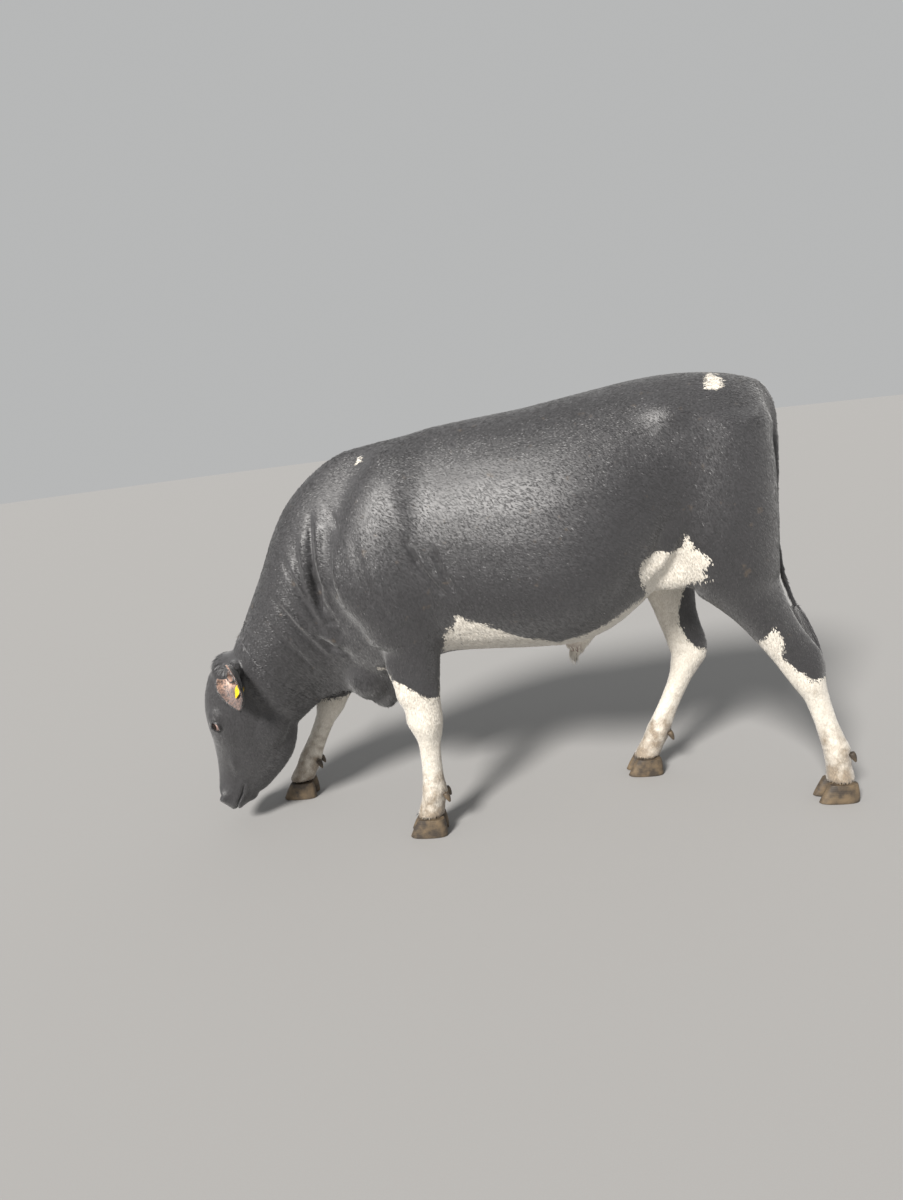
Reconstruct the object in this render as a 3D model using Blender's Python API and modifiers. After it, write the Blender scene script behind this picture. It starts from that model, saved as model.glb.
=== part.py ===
"""A still, life-size model of a young Friesian bull that walks with its head lowered to the ground.

The head points to -X, the bull's left side faces -Y, and up is +Z. The soles of the claws lie at z = 0.
The flesh is modelled whole: lofted sections and muscle masses are blended by a voxel remesh, sculpted,
thinned to fewer faces and then parted with thin cuts into head, neck, trunk, sheath and legs. Ears, eyes,
claws, dewclaws, tail, its switch and the ear tag are pieces of their own, set against the flesh. The switch
and the sheath end in flat, tapering locks of hair.
"""

import math
from typing import NamedTuple

import bmesh
import bpy
import numpy as np
from mathutils import Matrix, Vector

# Gap kept between pieces that touch
GAP = 0.0003

# Faces round a cutting drum, and the radius and length of one that takes all beyond a plane
DRUM_FACES = 24
BEYOND_SIZE = (0.3, 1.2)

# Points around each lofted section, and steps between two given sections
RING_POINTS = 32
LOFT_STEPS = 4

# Locks of hair: steps between two given points, width at root and tip and the swell between them, as
# parts of the full half width, then the full half widths and half thicknesses
LOCK_STEPS = 2
LOCK_ROOT = 0.75
LOCK_BELLY = 1.1
LOCK_TIP = 0.10
SWITCH_LOCK_SIZE = (0.0165, 0.0062)
SHEATH_LOCK_SIZE = (0.0125, 0.0055)

# Voxel sizes of the blended flesh, the smoothing passes after it, and the triangles that are kept
BODY_VOXEL = 0.009
BODY_SMOOTHING = 6
TRUNK_SMOOTHING = 40
BODY_TRIANGLES = 5900
HEAD_VOXEL = 0.004
HEAD_SMOOTHING = 22
HEAD_TRIANGLES = 4200

# Places of the joints in the side view, as (x, z), and the lateral place of each leg
FORE_LATERAL = 0.180
HIND_LATERAL = 0.150
LEFT, RIGHT = -1, 1
FORE_JOINTS = {
    LEFT: {
        "elbow": (-0.376, 0.805),
        "knee": (-0.368, 0.420),
        "fetlock": (-0.373, 0.155),
        "coronet": (-0.392, 0.074),
    },
    RIGHT: {
        "elbow": (-0.550, 0.750),
        "knee": (-0.775, 0.398),
        "fetlock": (-0.905, 0.152),
        "coronet": (-0.945, 0.074),
    },
}
HIND_JOINTS = {
    LEFT: {
        "stifle": (0.660, 0.790),
        "hock": (0.885, 0.460),
        "fetlock": (0.975, 0.172),
        "coronet": (0.988, 0.074),
    },
    RIGHT: {
        "stifle": (0.475, 0.820),
        "hock": (0.578, 0.455),
        "fetlock": (0.447, 0.165),
        "coronet": (0.405, 0.074),
    },
}

# Flesh around the leg bones: bone, place along it, reach in front, reach behind, half width
FORELEG_FLESH = [
    ("elbow", "knee", -0.25, 0.135, 0.120, 0.088),
    ("elbow", "knee", 0.00, 0.128, 0.112, 0.082),
    ("elbow", "knee", 0.25, 0.112, 0.098, 0.073),
    ("elbow", "knee", 0.50, 0.088, 0.081, 0.061),
    ("elbow", "knee", 0.72, 0.067, 0.068, 0.051),
    ("elbow", "knee", 0.88, 0.060, 0.063, 0.049),
    ("elbow", "knee", 1.00, 0.064, 0.063, 0.053),
    ("knee", "fetlock", 0.14, 0.057, 0.059, 0.049),
    ("knee", "fetlock", 0.32, 0.042, 0.047, 0.036),
    ("knee", "fetlock", 0.62, 0.039, 0.043, 0.031),
    ("knee", "fetlock", 0.85, 0.042, 0.046, 0.036),
    ("knee", "fetlock", 1.00, 0.046, 0.052, 0.044),
    ("fetlock", "coronet", 0.50, 0.045, 0.047, 0.041),
    ("fetlock", "coronet", 1.00, 0.050, 0.050, 0.046),
    ("fetlock", "coronet", 1.40, 0.050, 0.050, 0.044),
]
HINDLEG_FLESH = [
    ("stifle", "hock", -0.10, 0.125, 0.150, 0.100),
    ("stifle", "hock", 0.10, 0.098, 0.132, 0.086),
    ("stifle", "hock", 0.35, 0.076, 0.106, 0.067),
    ("stifle", "hock", 0.60, 0.069, 0.083, 0.053),
    ("stifle", "hock", 0.80, 0.067, 0.080, 0.045),
    ("stifle", "hock", 0.90, 0.069, 0.082, 0.044),
    ("stifle", "hock", 1.00, 0.069, 0.068, 0.046),
    ("hock", "fetlock", 0.14, 0.060, 0.054, 0.044),
    ("hock", "fetlock", 0.32, 0.043, 0.046, 0.036),
    ("hock", "fetlock", 0.62, 0.040, 0.043, 0.031),
    ("hock", "fetlock", 0.86, 0.042, 0.047, 0.036),
    ("hock", "fetlock", 1.00, 0.045, 0.052, 0.044),
    ("fetlock", "coronet", 0.50, 0.044, 0.047, 0.041),
    ("fetlock", "coronet", 1.00, 0.049, 0.050, 0.046),
    ("fetlock", "coronet", 1.40, 0.049, 0.050, 0.044),
]

# Cuts that part the legs off: the bone they cross and where, then the reach in front and behind, the depth
# and the flare of the wedge that holds the leg, and the range it takes sideways
LEG_CUTS = {
    "foreleg_left": (FORE_JOINTS[LEFT], "elbow", "knee", 0.50, (0.100, 0.105, 0.75, 0.0), (-0.32, -0.085)),
    "foreleg_right": (FORE_JOINTS[RIGHT], "elbow", "knee", 0.38, (0.125, 0.115, 0.80, 0.0), (0.103, 0.32)),
    "hindleg_left": (HIND_JOINTS[LEFT], "stifle", "hock", 0.05, (0.135, 0.160, 1.0, 0.3), (-0.35, -0.045)),
    "hindleg_right": (HIND_JOINTS[RIGHT], "stifle", "hock", 0.20, (0.100, 0.170, 1.0, 0.5), (0.045, 0.35)),
}

# Claws: two to a foot, each a horn shoe under the coronet
CLAW_TOP = 0.066
CLAW_HALF_WIDTH = 0.0235
CLAW_SPREAD = 0.0270
CLAW_TOE_REACH = 0.082
CLAW_HEEL_REACH = 0.052
CLAW_TOP_FRONT = 0.046
CLAW_TOP_BACK = 0.046
DEWCLAW_RADIUS = 0.0135
DEWCLAW_LENGTH = 0.034
DEWCLAW_SPOT = (0.047, 0.024, -0.016)
DEWCLAW_AIM = (0.38, 0.15, -0.88)

# Eyes: a ball of horse-chestnut size, set into the side of the head
EYE_RADIUS = 0.0205
EYE_CENTRE = (-1.128, 0.0965, 0.432)

# Ears: length along the rib, width across the cup, thickness, and where the root leaves the head
EAR_LENGTH = 0.152
EAR_WIDTH = 0.112
EAR_THICKNESS = 0.0055
EAR_START = 0.012
EAR_ROLL_ROOT = 105
EAR_ROLL_TIP = 38
EAR_DROOP = 0.030
EAR_ROOT = (-1.045, 0.110, 0.634)
EAR_ROOT_RADIUS = 0.031
EAR_ROOT_LENGTH = 0.048
EAR_ROOT_FLATNESS = 0.72
EAR_CUT_SIZE = (0.048, 0.10)
EAR_CUT_SHIFT = 0.004
EAR_ROOT_SETBACK = 0.016
EAR_AIM = {LEFT: (0.22, -0.76, -0.55), RIGHT: (-0.20, 0.95, 0.12)}
EAR_OPENING = {LEFT: (-0.62, -0.62, 0.30), RIGHT: (-0.92, -0.08, -0.25)}

# Ear tag: a plastic plate and a button, either side of the ear's rib, and how far the plate hangs off centre
TAG_PLACE = 0.42
TAG_CLEARANCE = 0.0105
TAG_PLATE = (0.034, 0.046, 0.0018)
TAG_HANG = 0.010
TAG_BUTTON = (0.022, 0.022, 0.0030)
TAG_PIN_RADIUS = 0.0030

# Tail: its line in the side view with the radius at each point, the radius and length of the room that the
# rump leaves around it, then the switch
TAIL_LINE = [
    (0.792, 0.000, 1.378, 0.0300),
    (0.822, 0.000, 1.335, 0.0270),
    (0.840, 0.000, 1.255, 0.0235),
    (0.845, 0.000, 1.130, 0.0205),
    (0.845, -0.002, 0.980, 0.0180),
    (0.848, -0.006, 0.850, 0.0165),
    (0.866, -0.012, 0.740, 0.0150),
    (0.896, -0.018, 0.650, 0.0130),
]
TAIL_ROOM_SIZE = (0.033, 0.12)
SWITCH_LINE = [
    (0.896, -0.018, 0.650, 0.0135),
    (0.917, -0.021, 0.585, 0.0215),
    (0.940, -0.025, 0.515, 0.0260),
    (0.960, -0.028, 0.435, 0.0240),
    (0.977, -0.030, 0.340, 0.0100),
]
SWITCH_START = 0.012
SWITCH_LOCKS = 13
SWITCH_CORE_SHARE = 0.5

# Hair at the sheath's mouth: how many locks, and how far they hang
SHEATH_MOUTH = (0.152, 0.0, 0.556)
SHEATH_LOCKS = 5
SHEATH_LOCK_LENGTH = 0.062

# Angle between one lock and the next around a core, which never lines two of them up
GOLDEN_ANGLE = math.radians(137.5)

COLOURS = {
    "black_coat": ("#16161A", 0.75),
    "white_coat": ("#E4DDCF", 0.80),
    "horn": ("#4A4238", 0.45),
    "pink_skin": ("#C9A08E", 0.60),
    "eye": ("#1E120C", 0.10),
    "yellow_plastic": ("#E6C81E", 0.40),
}


class Section(NamedTuple):
    """One cross-section, given by its two edge points in the side view and its half width."""

    first: tuple
    second: tuple
    half_width: float
    y: float = 0.0
    widest: float = 0.5
    pinch_first: float = 0.0
    pinch_second: float = 0.0
    squareness: float = 1.0


def clear_scene():
    for thing in list(bpy.data.objects):
        bpy.data.objects.remove(thing, do_unlink=True)


def new_collection(name):
    collection = bpy.data.collections.new(name)
    bpy.context.scene.collection.children.link(collection)
    return collection


def linear(hex_colour):
    """Turn an sRGB hex colour into linear RGBA."""
    channels = [int(hex_colour[i : i + 2], 16) / 255 for i in (1, 3, 5)]
    return [c / 12.92 if c <= 0.04045 else ((c + 0.055) / 1.055) ** 2.4 for c in channels] + [1.0]


def make_materials():
    materials = {}
    for name, (colour, roughness) in COLOURS.items():
        material = bpy.data.materials.new(name)
        material.use_nodes = True
        shader = material.node_tree.nodes["Principled BSDF"]
        shader.inputs["Base Color"].default_value = linear(colour)
        shader.inputs["Roughness"].default_value = roughness
        shader.inputs["Metallic"].default_value = 0.0
        materials[name] = material
    return materials


def object_from_bmesh(name, bm, collection):
    mesh = bpy.data.meshes.new(name)
    bm.to_mesh(mesh)
    bm.free()
    thing = bpy.data.objects.new(name, mesh)
    collection.objects.link(thing)
    return thing


def catmull_rom(before, start, end, after, t):
    """Interpolate between start and end on a smooth curve through the four values."""
    before, start, end, after = (np.asarray(v, float) for v in (before, start, end, after))
    return 0.5 * (
        2 * start
        + (end - before) * t
        + (2 * before - 5 * start + 4 * end - after) * t**2
        + (3 * start - before - 3 * end + after) * t**3
    )


def smooth_rows(rows, steps):
    """Put evenly spaced rows between the given rows of numbers, on a smooth curve through them."""
    rows = [np.asarray(row, float) for row in rows]
    out = []
    for i in range(len(rows) - 1):
        before = rows[max(i - 1, 0)]
        after = rows[min(i + 2, len(rows) - 1)]
        for step in range(steps):
            out.append(catmull_rom(before, rows[i], rows[i + 1], after, step / steps))
    out.append(rows[-1])
    return out


def section_row(section):
    return [*section.first, *section.second, *section[2:]]


def row_section(row):
    return Section(tuple(row[0:2]), tuple(row[2:4]), *row[4:])


def section_ring(section):
    """Return the points around one section."""
    first = Vector((section.first[0], section.y, section.first[1]))
    second = Vector((section.second[0], section.y, section.second[1]))
    centre = first.lerp(second, section.widest)
    points = []
    for step in range(RING_POINTS):
        angle = 2 * math.pi * step / RING_POINTS
        reach, side = math.cos(angle), math.sin(angle)
        edge, pinch = (first, section.pinch_first) if reach > 0 else (second, section.pinch_second)
        along = abs(reach) ** section.squareness
        across = math.copysign(abs(side) ** section.squareness, side) * (1 - pinch * reach * reach)
        points.append(centre + (edge - centre) * along + Vector((0, section.half_width * across, 0)))
    return points


def loft_rings(name, rings, collection):
    """Join rings of equally many points into one closed, outward-facing body."""
    bm = bmesh.new()
    rows = [[bm.verts.new(point) for point in ring] for ring in rings]
    count = len(rows[0])
    for row, following in zip(rows, rows[1:]):
        for i in range(count):
            j = (i + 1) % count
            bm.faces.new((row[i], row[j], following[j], following[i]))
    bm.faces.new(rows[0])
    bm.faces.new(rows[-1])
    bmesh.ops.recalc_face_normals(bm, faces=bm.faces)
    return object_from_bmesh(name, bm, collection)


def loft(name, sections, collection):
    rows = smooth_rows([section_row(section) for section in sections], LOFT_STEPS)
    return loft_rings(name, [section_ring(row_section(row)) for row in rows], collection)


def mass(name, centre, radii, tilt, collection):
    """An ellipsoid muscle or bone mass, tilted about the lateral axis by degrees."""
    bm = bmesh.new()
    matrix = (
        Matrix.Translation(centre)
        @ Matrix.Rotation(math.radians(tilt), 4, "Y")
        @ Matrix.Diagonal((*radii, 1.0))
    )
    bmesh.ops.create_uvsphere(bm, u_segments=32, v_segments=20, radius=1.0, matrix=matrix)
    return object_from_bmesh(name, bm, collection)


def paired_mass(name, centre, radii, tilt, collection):
    x, y, z = centre
    return [mass(name, (x, side * y, z), radii, tilt, collection) for side in (LEFT, RIGHT)]


def box(name, lowest, highest, collection):
    bm = bmesh.new()
    size = [high - low for low, high in zip(lowest, highest)]
    middle = [(high + low) / 2 for low, high in zip(lowest, highest)]
    bmesh.ops.create_cube(bm, size=1.0, matrix=Matrix.Translation(middle) @ Matrix.Diagonal((*size, 1.0)))
    return object_from_bmesh(name, bm, collection)


def evaluated_mesh(thing):
    graph = bpy.context.evaluated_depsgraph_get()
    return bpy.data.meshes.new_from_object(thing.evaluated_get(graph), preserve_all_data_layers=False)


def apply_modifiers(thing):
    """Replace the object's mesh by what its modifiers make of it."""
    bpy.context.view_layer.update()
    mesh = evaluated_mesh(thing)
    thing.modifiers.clear()
    old = thing.data
    thing.data = mesh
    bpy.data.meshes.remove(old)
    return thing


def join(name, pieces, collection):
    """Put the meshes of the pieces into one object, as separate overlapping shells, and remove the pieces."""
    bm = bmesh.new()
    for piece in pieces:
        piece.data.transform(piece.matrix_world)
        bm.from_mesh(piece.data)
        bpy.data.objects.remove(piece, do_unlink=True)
    return object_from_bmesh(name, bm, collection)


def blend(name, pieces, voxel, smoothing, collection):
    """Fuse overlapping shells into one skin by a voxel remesh, and soften where they meet."""
    body = join(name, pieces, collection)
    remesh = body.modifiers.new("fuse", "REMESH")
    remesh.mode = "VOXEL"
    remesh.voxel_size = voxel
    return soften(apply_modifiers(body), smoothing)


def soften(body, passes, group=""):
    smooth = body.modifiers.new("soften", "SMOOTH")
    smooth.factor = 0.5
    smooth.iterations = passes
    smooth.vertex_group = group
    return apply_modifiers(body)


def soften_above(body, passes, low, high):
    """Soften the skin above a height, fading in between low and high."""
    group = body.vertex_groups.new(name="upper")
    places, _ = vertex_arrays(body.data)
    weights = np.clip((places[:, 2] - low) / (high - low), 0, 1)
    for index, weight in enumerate(weights):
        if weight > 0:
            group.add([index], float(weight), "REPLACE")
    soften(body, passes, group.name)
    body.vertex_groups.clear()
    return body


def thin_out(body, triangles):
    """Keep about the given number of triangles, most of them where the surface bends most."""
    count = sum(len(face.vertices) - 2 for face in body.data.polygons)
    decimate = body.modifiers.new("thin_out", "DECIMATE")
    decimate.ratio = min(1.0, triangles / count)
    decimate.use_collapse_triangulate = True
    return apply_modifiers(body)


def largest_shell(body):
    """Keep only the largest closed surface of the body."""
    bm = bmesh.new()
    bm.from_mesh(body.data)
    unseen = set(bm.verts)
    shells = []
    while unseen:
        shell, front = set(), [unseen.pop()]
        while front:
            vert = front.pop()
            shell.add(vert)
            linked = {edge.other_vert(vert) for edge in vert.link_edges} & unseen
            unseen -= linked
            front.extend(linked)
        shells.append(shell)
    shells.sort(key=len, reverse=True)
    for shell in shells[1:]:
        bmesh.ops.delete(bm, geom=list(shell), context="VERTS")
    bm.to_mesh(body.data)
    bm.free()
    return body


def boolean(body, other, operation, remove=True):
    cut = body.modifiers.new("cut", "BOOLEAN")
    cut.operation = operation
    cut.object = other
    cut.solver = "EXACT"
    apply_modifiers(body)
    if remove:
        bpy.data.objects.remove(other, do_unlink=True)
    return largest_shell(body)


def copy_of(body, name, collection):
    twin = bpy.data.objects.new(name, body.data.copy())
    collection.objects.link(twin)
    return twin


def slab_region(name, point, normal, forward, sizes, y_range, collection):
    """A wedge that begins at a plane and reaches along its normal, bounded to one limb.

    point and normal lie in the side view. sizes give its reach in front of and behind the point, how far
    it runs along the normal, and how much wider it is to the front at its far end. y_range bounds it
    sideways.
    """
    reach_front, reach_back, depth, flare = sizes
    normal = Vector((normal[0], 0, normal[1])).normalized()
    front = Vector((forward[0], 0, forward[1]))
    front = (front - normal * front.dot(normal)).normalized()
    origin = Vector((point[0], 0, point[1]))
    bm = bmesh.new()
    corners = []
    for y in y_range:
        near = ((0, reach_front), (0, -reach_back))
        far = ((depth, reach_front + flare), (depth, -reach_back))
        for along, across in near + far:
            corners.append(bm.verts.new(origin + normal * along + front * across + Vector((0, y, 0))))
    bmesh.ops.convex_hull(bm, input=corners)
    return object_from_bmesh(name, bm, collection)


def part_off(body, name, point, normal, forward, sizes, y_range, parts, cutters):
    """Cut a limb off the body along a plane, leaving a thin gap, and return it as its own object."""
    shifted = [p + GAP * n for p, n in zip(point, Vector(normal).normalized())]
    inner_sizes = [size - GAP for size in sizes[:3]] + [sizes[3]]
    inner_range = (y_range[0] + GAP, y_range[1] - GAP)
    limb = copy_of(body, name, parts)
    keep = slab_region("keep", shifted, normal, forward, inner_sizes, inner_range, cutters)
    boolean(limb, keep, "INTERSECT")
    boolean(body, slab_region("drop", point, normal, forward, sizes, y_range, cutters), "DIFFERENCE")
    return limb


# Flesh


def trunk(collection):
    """Chest, barrel, loin and rump, from the breast to the tail head."""
    stations = [
        # x, back, belly, half width, height of the widest, pinch above, pinch below
        (-0.670, 1.130, 0.700, 0.080, 0.900, 0.0, 0.0),
        (-0.620, 1.235, 0.580, 0.165, 0.900, 0.1, 0.1),
        (-0.520, 1.315, 0.520, 0.225, 0.900, 0.35, 0.25),
        (-0.400, 1.352, 0.555, 0.255, 0.920, 0.42, 0.2),
        (-0.280, 1.372, 0.600, 0.275, 0.920, 0.35, 0.1),
        (-0.120, 1.387, 0.605, 0.310, 0.910, 0.22, 0.0),
        (0.030, 1.398, 0.600, 0.338, 0.900, 0.15, 0.0),
        (0.160, 1.414, 0.603, 0.345, 0.905, 0.12, 0.0),
        (0.280, 1.430, 0.640, 0.325, 0.940, 0.10, 0.05),
        (0.380, 1.443, 0.705, 0.290, 1.000, 0.05, 0.1),
        (0.470, 1.450, 0.780, 0.262, 1.070, 0.0, 0.15),
        (0.570, 1.449, 0.840, 0.245, 1.130, 0.05, 0.15),
        (0.670, 1.438, 0.860, 0.222, 1.130, 0.1, 0.15),
        (0.745, 1.420, 0.890, 0.180, 1.140, 0.15, 0.15),
        (0.795, 1.385, 0.950, 0.125, 1.160, 0.15, 0.15),
        (0.822, 1.330, 1.020, 0.060, 1.180, 0.1, 0.1),
    ]
    sections = []
    for x, back, belly, half_width, widest, pinch_above, pinch_below in stations:
        middle = (back - widest) / (back - belly)
        sections.append(
            Section((x, back), (x, belly), half_width, 0.0, middle, pinch_above, pinch_below, 0.92)
        )
    pieces = [loft("trunk", sections, collection)]
    pieces += paired_mass("hook_bone", (0.475, 0.132, 1.298), (0.112, 0.096, 0.090), 0, collection)
    pieces += paired_mass("pin_bone", (0.768, 0.092, 1.250), (0.056, 0.050, 0.070), 0, collection)
    pieces.append(mass("brisket", (-0.560, 0, 0.560), (0.100, 0.095, 0.120), 20, collection))
    return pieces


def neck(collection):
    """The crested neck, whose underside runs out into the dewlap."""
    sections = [
        Section((-0.330, 1.362), (-0.400, 0.530), 0.200, 0, 0.45, 0.5, 0.5),
        Section((-0.480, 1.345), (-0.480, 0.430), 0.205, 0, 0.42, 0.45, 0.62),
        Section((-0.580, 1.325), (-0.535, 0.398), 0.192, 0, 0.40, 0.38, 0.74),
        Section((-0.684, 1.264), (-0.590, 0.430), 0.176, 0, 0.38, 0.30, 0.80),
        Section((-0.778, 1.177), (-0.650, 0.470), 0.163, 0, 0.38, 0.25, 0.80),
        Section((-0.843, 1.079), (-0.700, 0.468), 0.152, 0, 0.38, 0.22, 0.76),
        Section((-0.898, 0.966), (-0.755, 0.455), 0.142, 0, 0.40, 0.20, 0.66),
        Section((-0.965, 0.845), (-0.800, 0.430), 0.130, 0, 0.42, 0.18, 0.50),
        Section((-1.030, 0.725), (-0.850, 0.390), 0.118, 0, 0.45, 0.15, 0.35),
        Section((-1.080, 0.640), (-0.920, 0.340), 0.090, 0, 0.45, 0.10, 0.20),
    ]
    return [loft("neck", sections, collection)]


def shoulder(side, collection):
    """Shoulder blade and upper arm, down into the forearm."""
    advance = FORE_JOINTS[side]["elbow"][0] - FORE_JOINTS[LEFT]["elbow"][0]
    levels = [
        # front and rear edge, height, lateral place, half width, share of the leg's advance
        (-0.440, -0.275, 1.325, 0.060, 0.050, 0.0),
        (-0.520, -0.245, 1.215, 0.125, 0.078, 0.15),
        (-0.585, -0.235, 1.080, 0.165, 0.092, 0.35),
        (-0.625, -0.228, 0.950, 0.182, 0.100, 0.55),
        (-0.605, -0.238, 0.850, 0.186, 0.096, 0.8),
        (-0.545, -0.262, 0.760, 0.184, 0.084, 1.0),
        (-0.515, -0.275, 0.690, 0.182, 0.070, 1.1),
    ]
    sections = []
    for front, rear, height, y, half_width, share in levels:
        shift = advance * share
        drop = 0.5 * shift
        sections.append(
            Section((front + shift, height + drop), (rear + shift, height + drop), half_width, side * y, 0.5)
        )
    return loft("shoulder", sections, collection)


def haunch(side, collection):
    """Rump and thigh, down to the stifle, which lies further forward on the side whose leg is forward."""
    advance = HIND_JOINTS[side]["stifle"][0] - HIND_JOINTS[LEFT]["stifle"][0]
    levels = [
        # front and rear edge with their heights, lateral place, half width, share of the leg's advance
        (0.450, 1.310, 0.795, 1.300, 0.115, 0.095, 0.0),
        (0.425, 1.180, 0.808, 1.180, 0.132, 0.118, 0.1),
        (0.425, 1.040, 0.812, 1.050, 0.142, 0.124, 0.25),
        (0.455, 0.920, 0.812, 0.950, 0.150, 0.118, 0.5),
        (0.505, 0.820, 0.809, 0.870, 0.154, 0.104, 0.8),
        (0.560, 0.745, 0.812, 0.800, 0.155, 0.088, 1.0),
    ]
    sections = []
    for front_x, front_z, rear_x, rear_z, y, half_width, share in levels:
        shift = advance * share
        sections.append(
            Section((front_x + 0.6 * shift, front_z), (rear_x + shift, rear_z), half_width, side * y, 0.5)
        )
    return loft("haunch", sections, collection)


def leg_flesh(name, joints, flesh, y, collection):
    """Loft a leg along its bones, turning the sections smoothly at each joint."""
    centres = []
    for start, end, place, *_ in flesh:
        centres.append(Vector(joints[start]).lerp(Vector(joints[end]), place))
    sections = []
    for i, (_, _, _, front, back, half_width) in enumerate(flesh):
        along = centres[min(i + 1, len(centres) - 1)] - centres[max(i - 1, 0)]
        forward = Vector((along[1], -along[0])).normalized()
        first = centres[i] + forward * front
        second = centres[i] - forward * back
        sections.append(
            Section(tuple(first), tuple(second), half_width, y, front / (front + back), 0.1, 0.25)
        )
    return loft(name, sections, collection)


def flank_and_sheath(collection):
    """The folds of skin from belly to groin and left stifle, the sheath that hangs there, the small scrotum."""
    sections = [
        Section((0.500, 0.900), (0.500, 0.800), 0.040),
        Section((0.400, 0.850), (0.420, 0.755), 0.036),
        Section((0.300, 0.760), (0.325, 0.672), 0.034),
        Section((0.200, 0.690), (0.238, 0.602), 0.036),
        Section((0.120, 0.640), (0.195, 0.556), 0.036),
        Section((0.118, 0.575), (0.182, 0.538), 0.028),
    ]
    pieces = [loft("sheath_fold", sections, collection)]
    pieces.append(mass("flank_fold", (0.475, LEFT * 0.150, 0.840), (0.125, 0.044, 0.072), 0, collection))
    pieces.append(mass("scrotum", (0.585, 0, 0.830), (0.060, 0.055, 0.085), 0, collection))
    return pieces


def skull(collection):
    """The head from poll to muzzle, with its masses of brow, cheek and chin."""
    sections = [
        # face edge and jaw edge, half width, then widest place and pinches
        Section((-1.050, 0.685), (-0.950, 0.630), 0.062, 0, 0.50, 0.0, 0.0),
        Section((-1.103, 0.655), (-0.920, 0.550), 0.092, 0, 0.45, 0.0, 0.1),
        Section((-1.150, 0.612), (-0.890, 0.478), 0.106, 0, 0.40, 0.0, 0.2),
        Section((-1.183, 0.545), (-0.868, 0.405), 0.112, 0, 0.38, 0.0, 0.3),
        Section((-1.198, 0.478), (-0.873, 0.345), 0.112, 0, 0.36, 0.0, 0.35),
        Section((-1.200, 0.412), (-0.897, 0.276), 0.102, 0, 0.38, 0.05, 0.35),
        Section((-1.196, 0.345), (-0.936, 0.221), 0.088, 0, 0.42, 0.20, 0.35),
        Section((-1.196, 0.278), (-0.983, 0.173), 0.076, 0, 0.46, 0.28, 0.35),
        Section((-1.200, 0.215), (-1.026, 0.134), 0.070, 0, 0.48, 0.22, 0.30),
        Section((-1.204, 0.160), (-1.066, 0.112), 0.071, 0, 0.42, 0.05, 0.25, 0.88),
        Section((-1.200, 0.118), (-1.088, 0.092), 0.069, 0, 0.40, 0.0, 0.20, 0.85),
        Section((-1.184, 0.086), (-1.112, 0.077), 0.056, 0, 0.42, 0.0, 0.15, 0.88),
        Section((-1.165, 0.072), (-1.128, 0.070), 0.034, 0, 0.45, 0.0, 0.0),
    ]
    pieces = [loft("skull", sections, collection)]
    pieces.append(mass("poll", (-1.072, 0, 0.604), (0.074, 0.096, 0.060), 40, collection))
    pieces += paired_mass("brow", (-1.120, 0.078, 0.458), (0.046, 0.036, 0.054), 20, collection)
    pieces += paired_mass("cheek", (-0.988, 0.046, 0.400), (0.098, 0.050, 0.120), 35, collection)
    pieces += paired_mass("cheek_ridge", (-1.085, 0.058, 0.335), (0.034, 0.034, 0.125), 12, collection)
    pieces += paired_mass("nostril_wing", (-1.168, 0.044, 0.132), (0.032, 0.031, 0.036), 0, collection)
    pieces.append(mass("chin", (-1.098, 0, 0.118), (0.034, 0.044, 0.034), 0, collection))
    pieces += paired_mass("upper_lip", (-1.130, 0.042, 0.118), (0.034, 0.028, 0.032), 30, collection)
    return pieces


def ear_frame(side):
    """The ear's own axes: along its length, out of its opening, and across it."""
    along = Vector(EAR_AIM[side]).normalized()
    opening = Vector(EAR_OPENING[side])
    opening = (opening - along * opening.dot(along)).normalized()
    return along, opening, along.cross(opening)


def ear_base(side):
    return Vector((EAR_ROOT[0], side * EAR_ROOT[1], EAR_ROOT[2]))


def ear_root(side, collection):
    """The fleshy root of the ear, half on the head and half on the ear."""
    along, opening, across = ear_frame(side)
    bm = bmesh.new()
    bmesh.ops.create_uvsphere(bm, u_segments=16, v_segments=10, radius=1.0)
    axes = Matrix((across, opening, along)).transposed().to_4x4()
    scale = Matrix.Diagonal((EAR_ROOT_RADIUS, EAR_ROOT_RADIUS * EAR_ROOT_FLATNESS, EAR_ROOT_LENGTH, 1.0))
    place = Matrix.Translation(ear_base(side) - opening * EAR_ROOT_SETBACK)
    bmesh.ops.transform(bm, matrix=place @ axes @ scale, verts=bm.verts)
    return object_from_bmesh("ear_root", bm, collection)


# Sculpting on the blended skin


def vertex_arrays(mesh):
    count = len(mesh.vertices)
    places = np.empty(count * 3)
    normals = np.empty(count * 3)
    mesh.vertices.foreach_get("co", places)
    mesh.vertices.foreach_get("normal", normals)
    return places.reshape(-1, 3), normals.reshape(-1, 3)


def distance_to_line(places, line):
    """Distance of each place to a polyline, in as many dimensions as the line has."""
    best = np.full(len(places), np.inf)
    for start, end in zip(line, line[1:]):
        start, end = np.asarray(start, float), np.asarray(end, float)
        run = end - start
        share = np.clip(((places - start) @ run) / (run @ run), 0, 1)
        best = np.minimum(best, np.linalg.norm(places - start - share[:, None] * run, axis=1))
    return best


def press(mesh, distance, half_width, depth):
    """Push the skin in along its normals, or out where depth is negative, fading with distance."""
    places, normals = vertex_arrays(mesh)
    push = depth * np.exp(-((distance / half_width) ** 2))
    places = places - normals * push[:, None]
    mesh.vertices.foreach_set("co", places.ravel())
    mesh.update()


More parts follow.
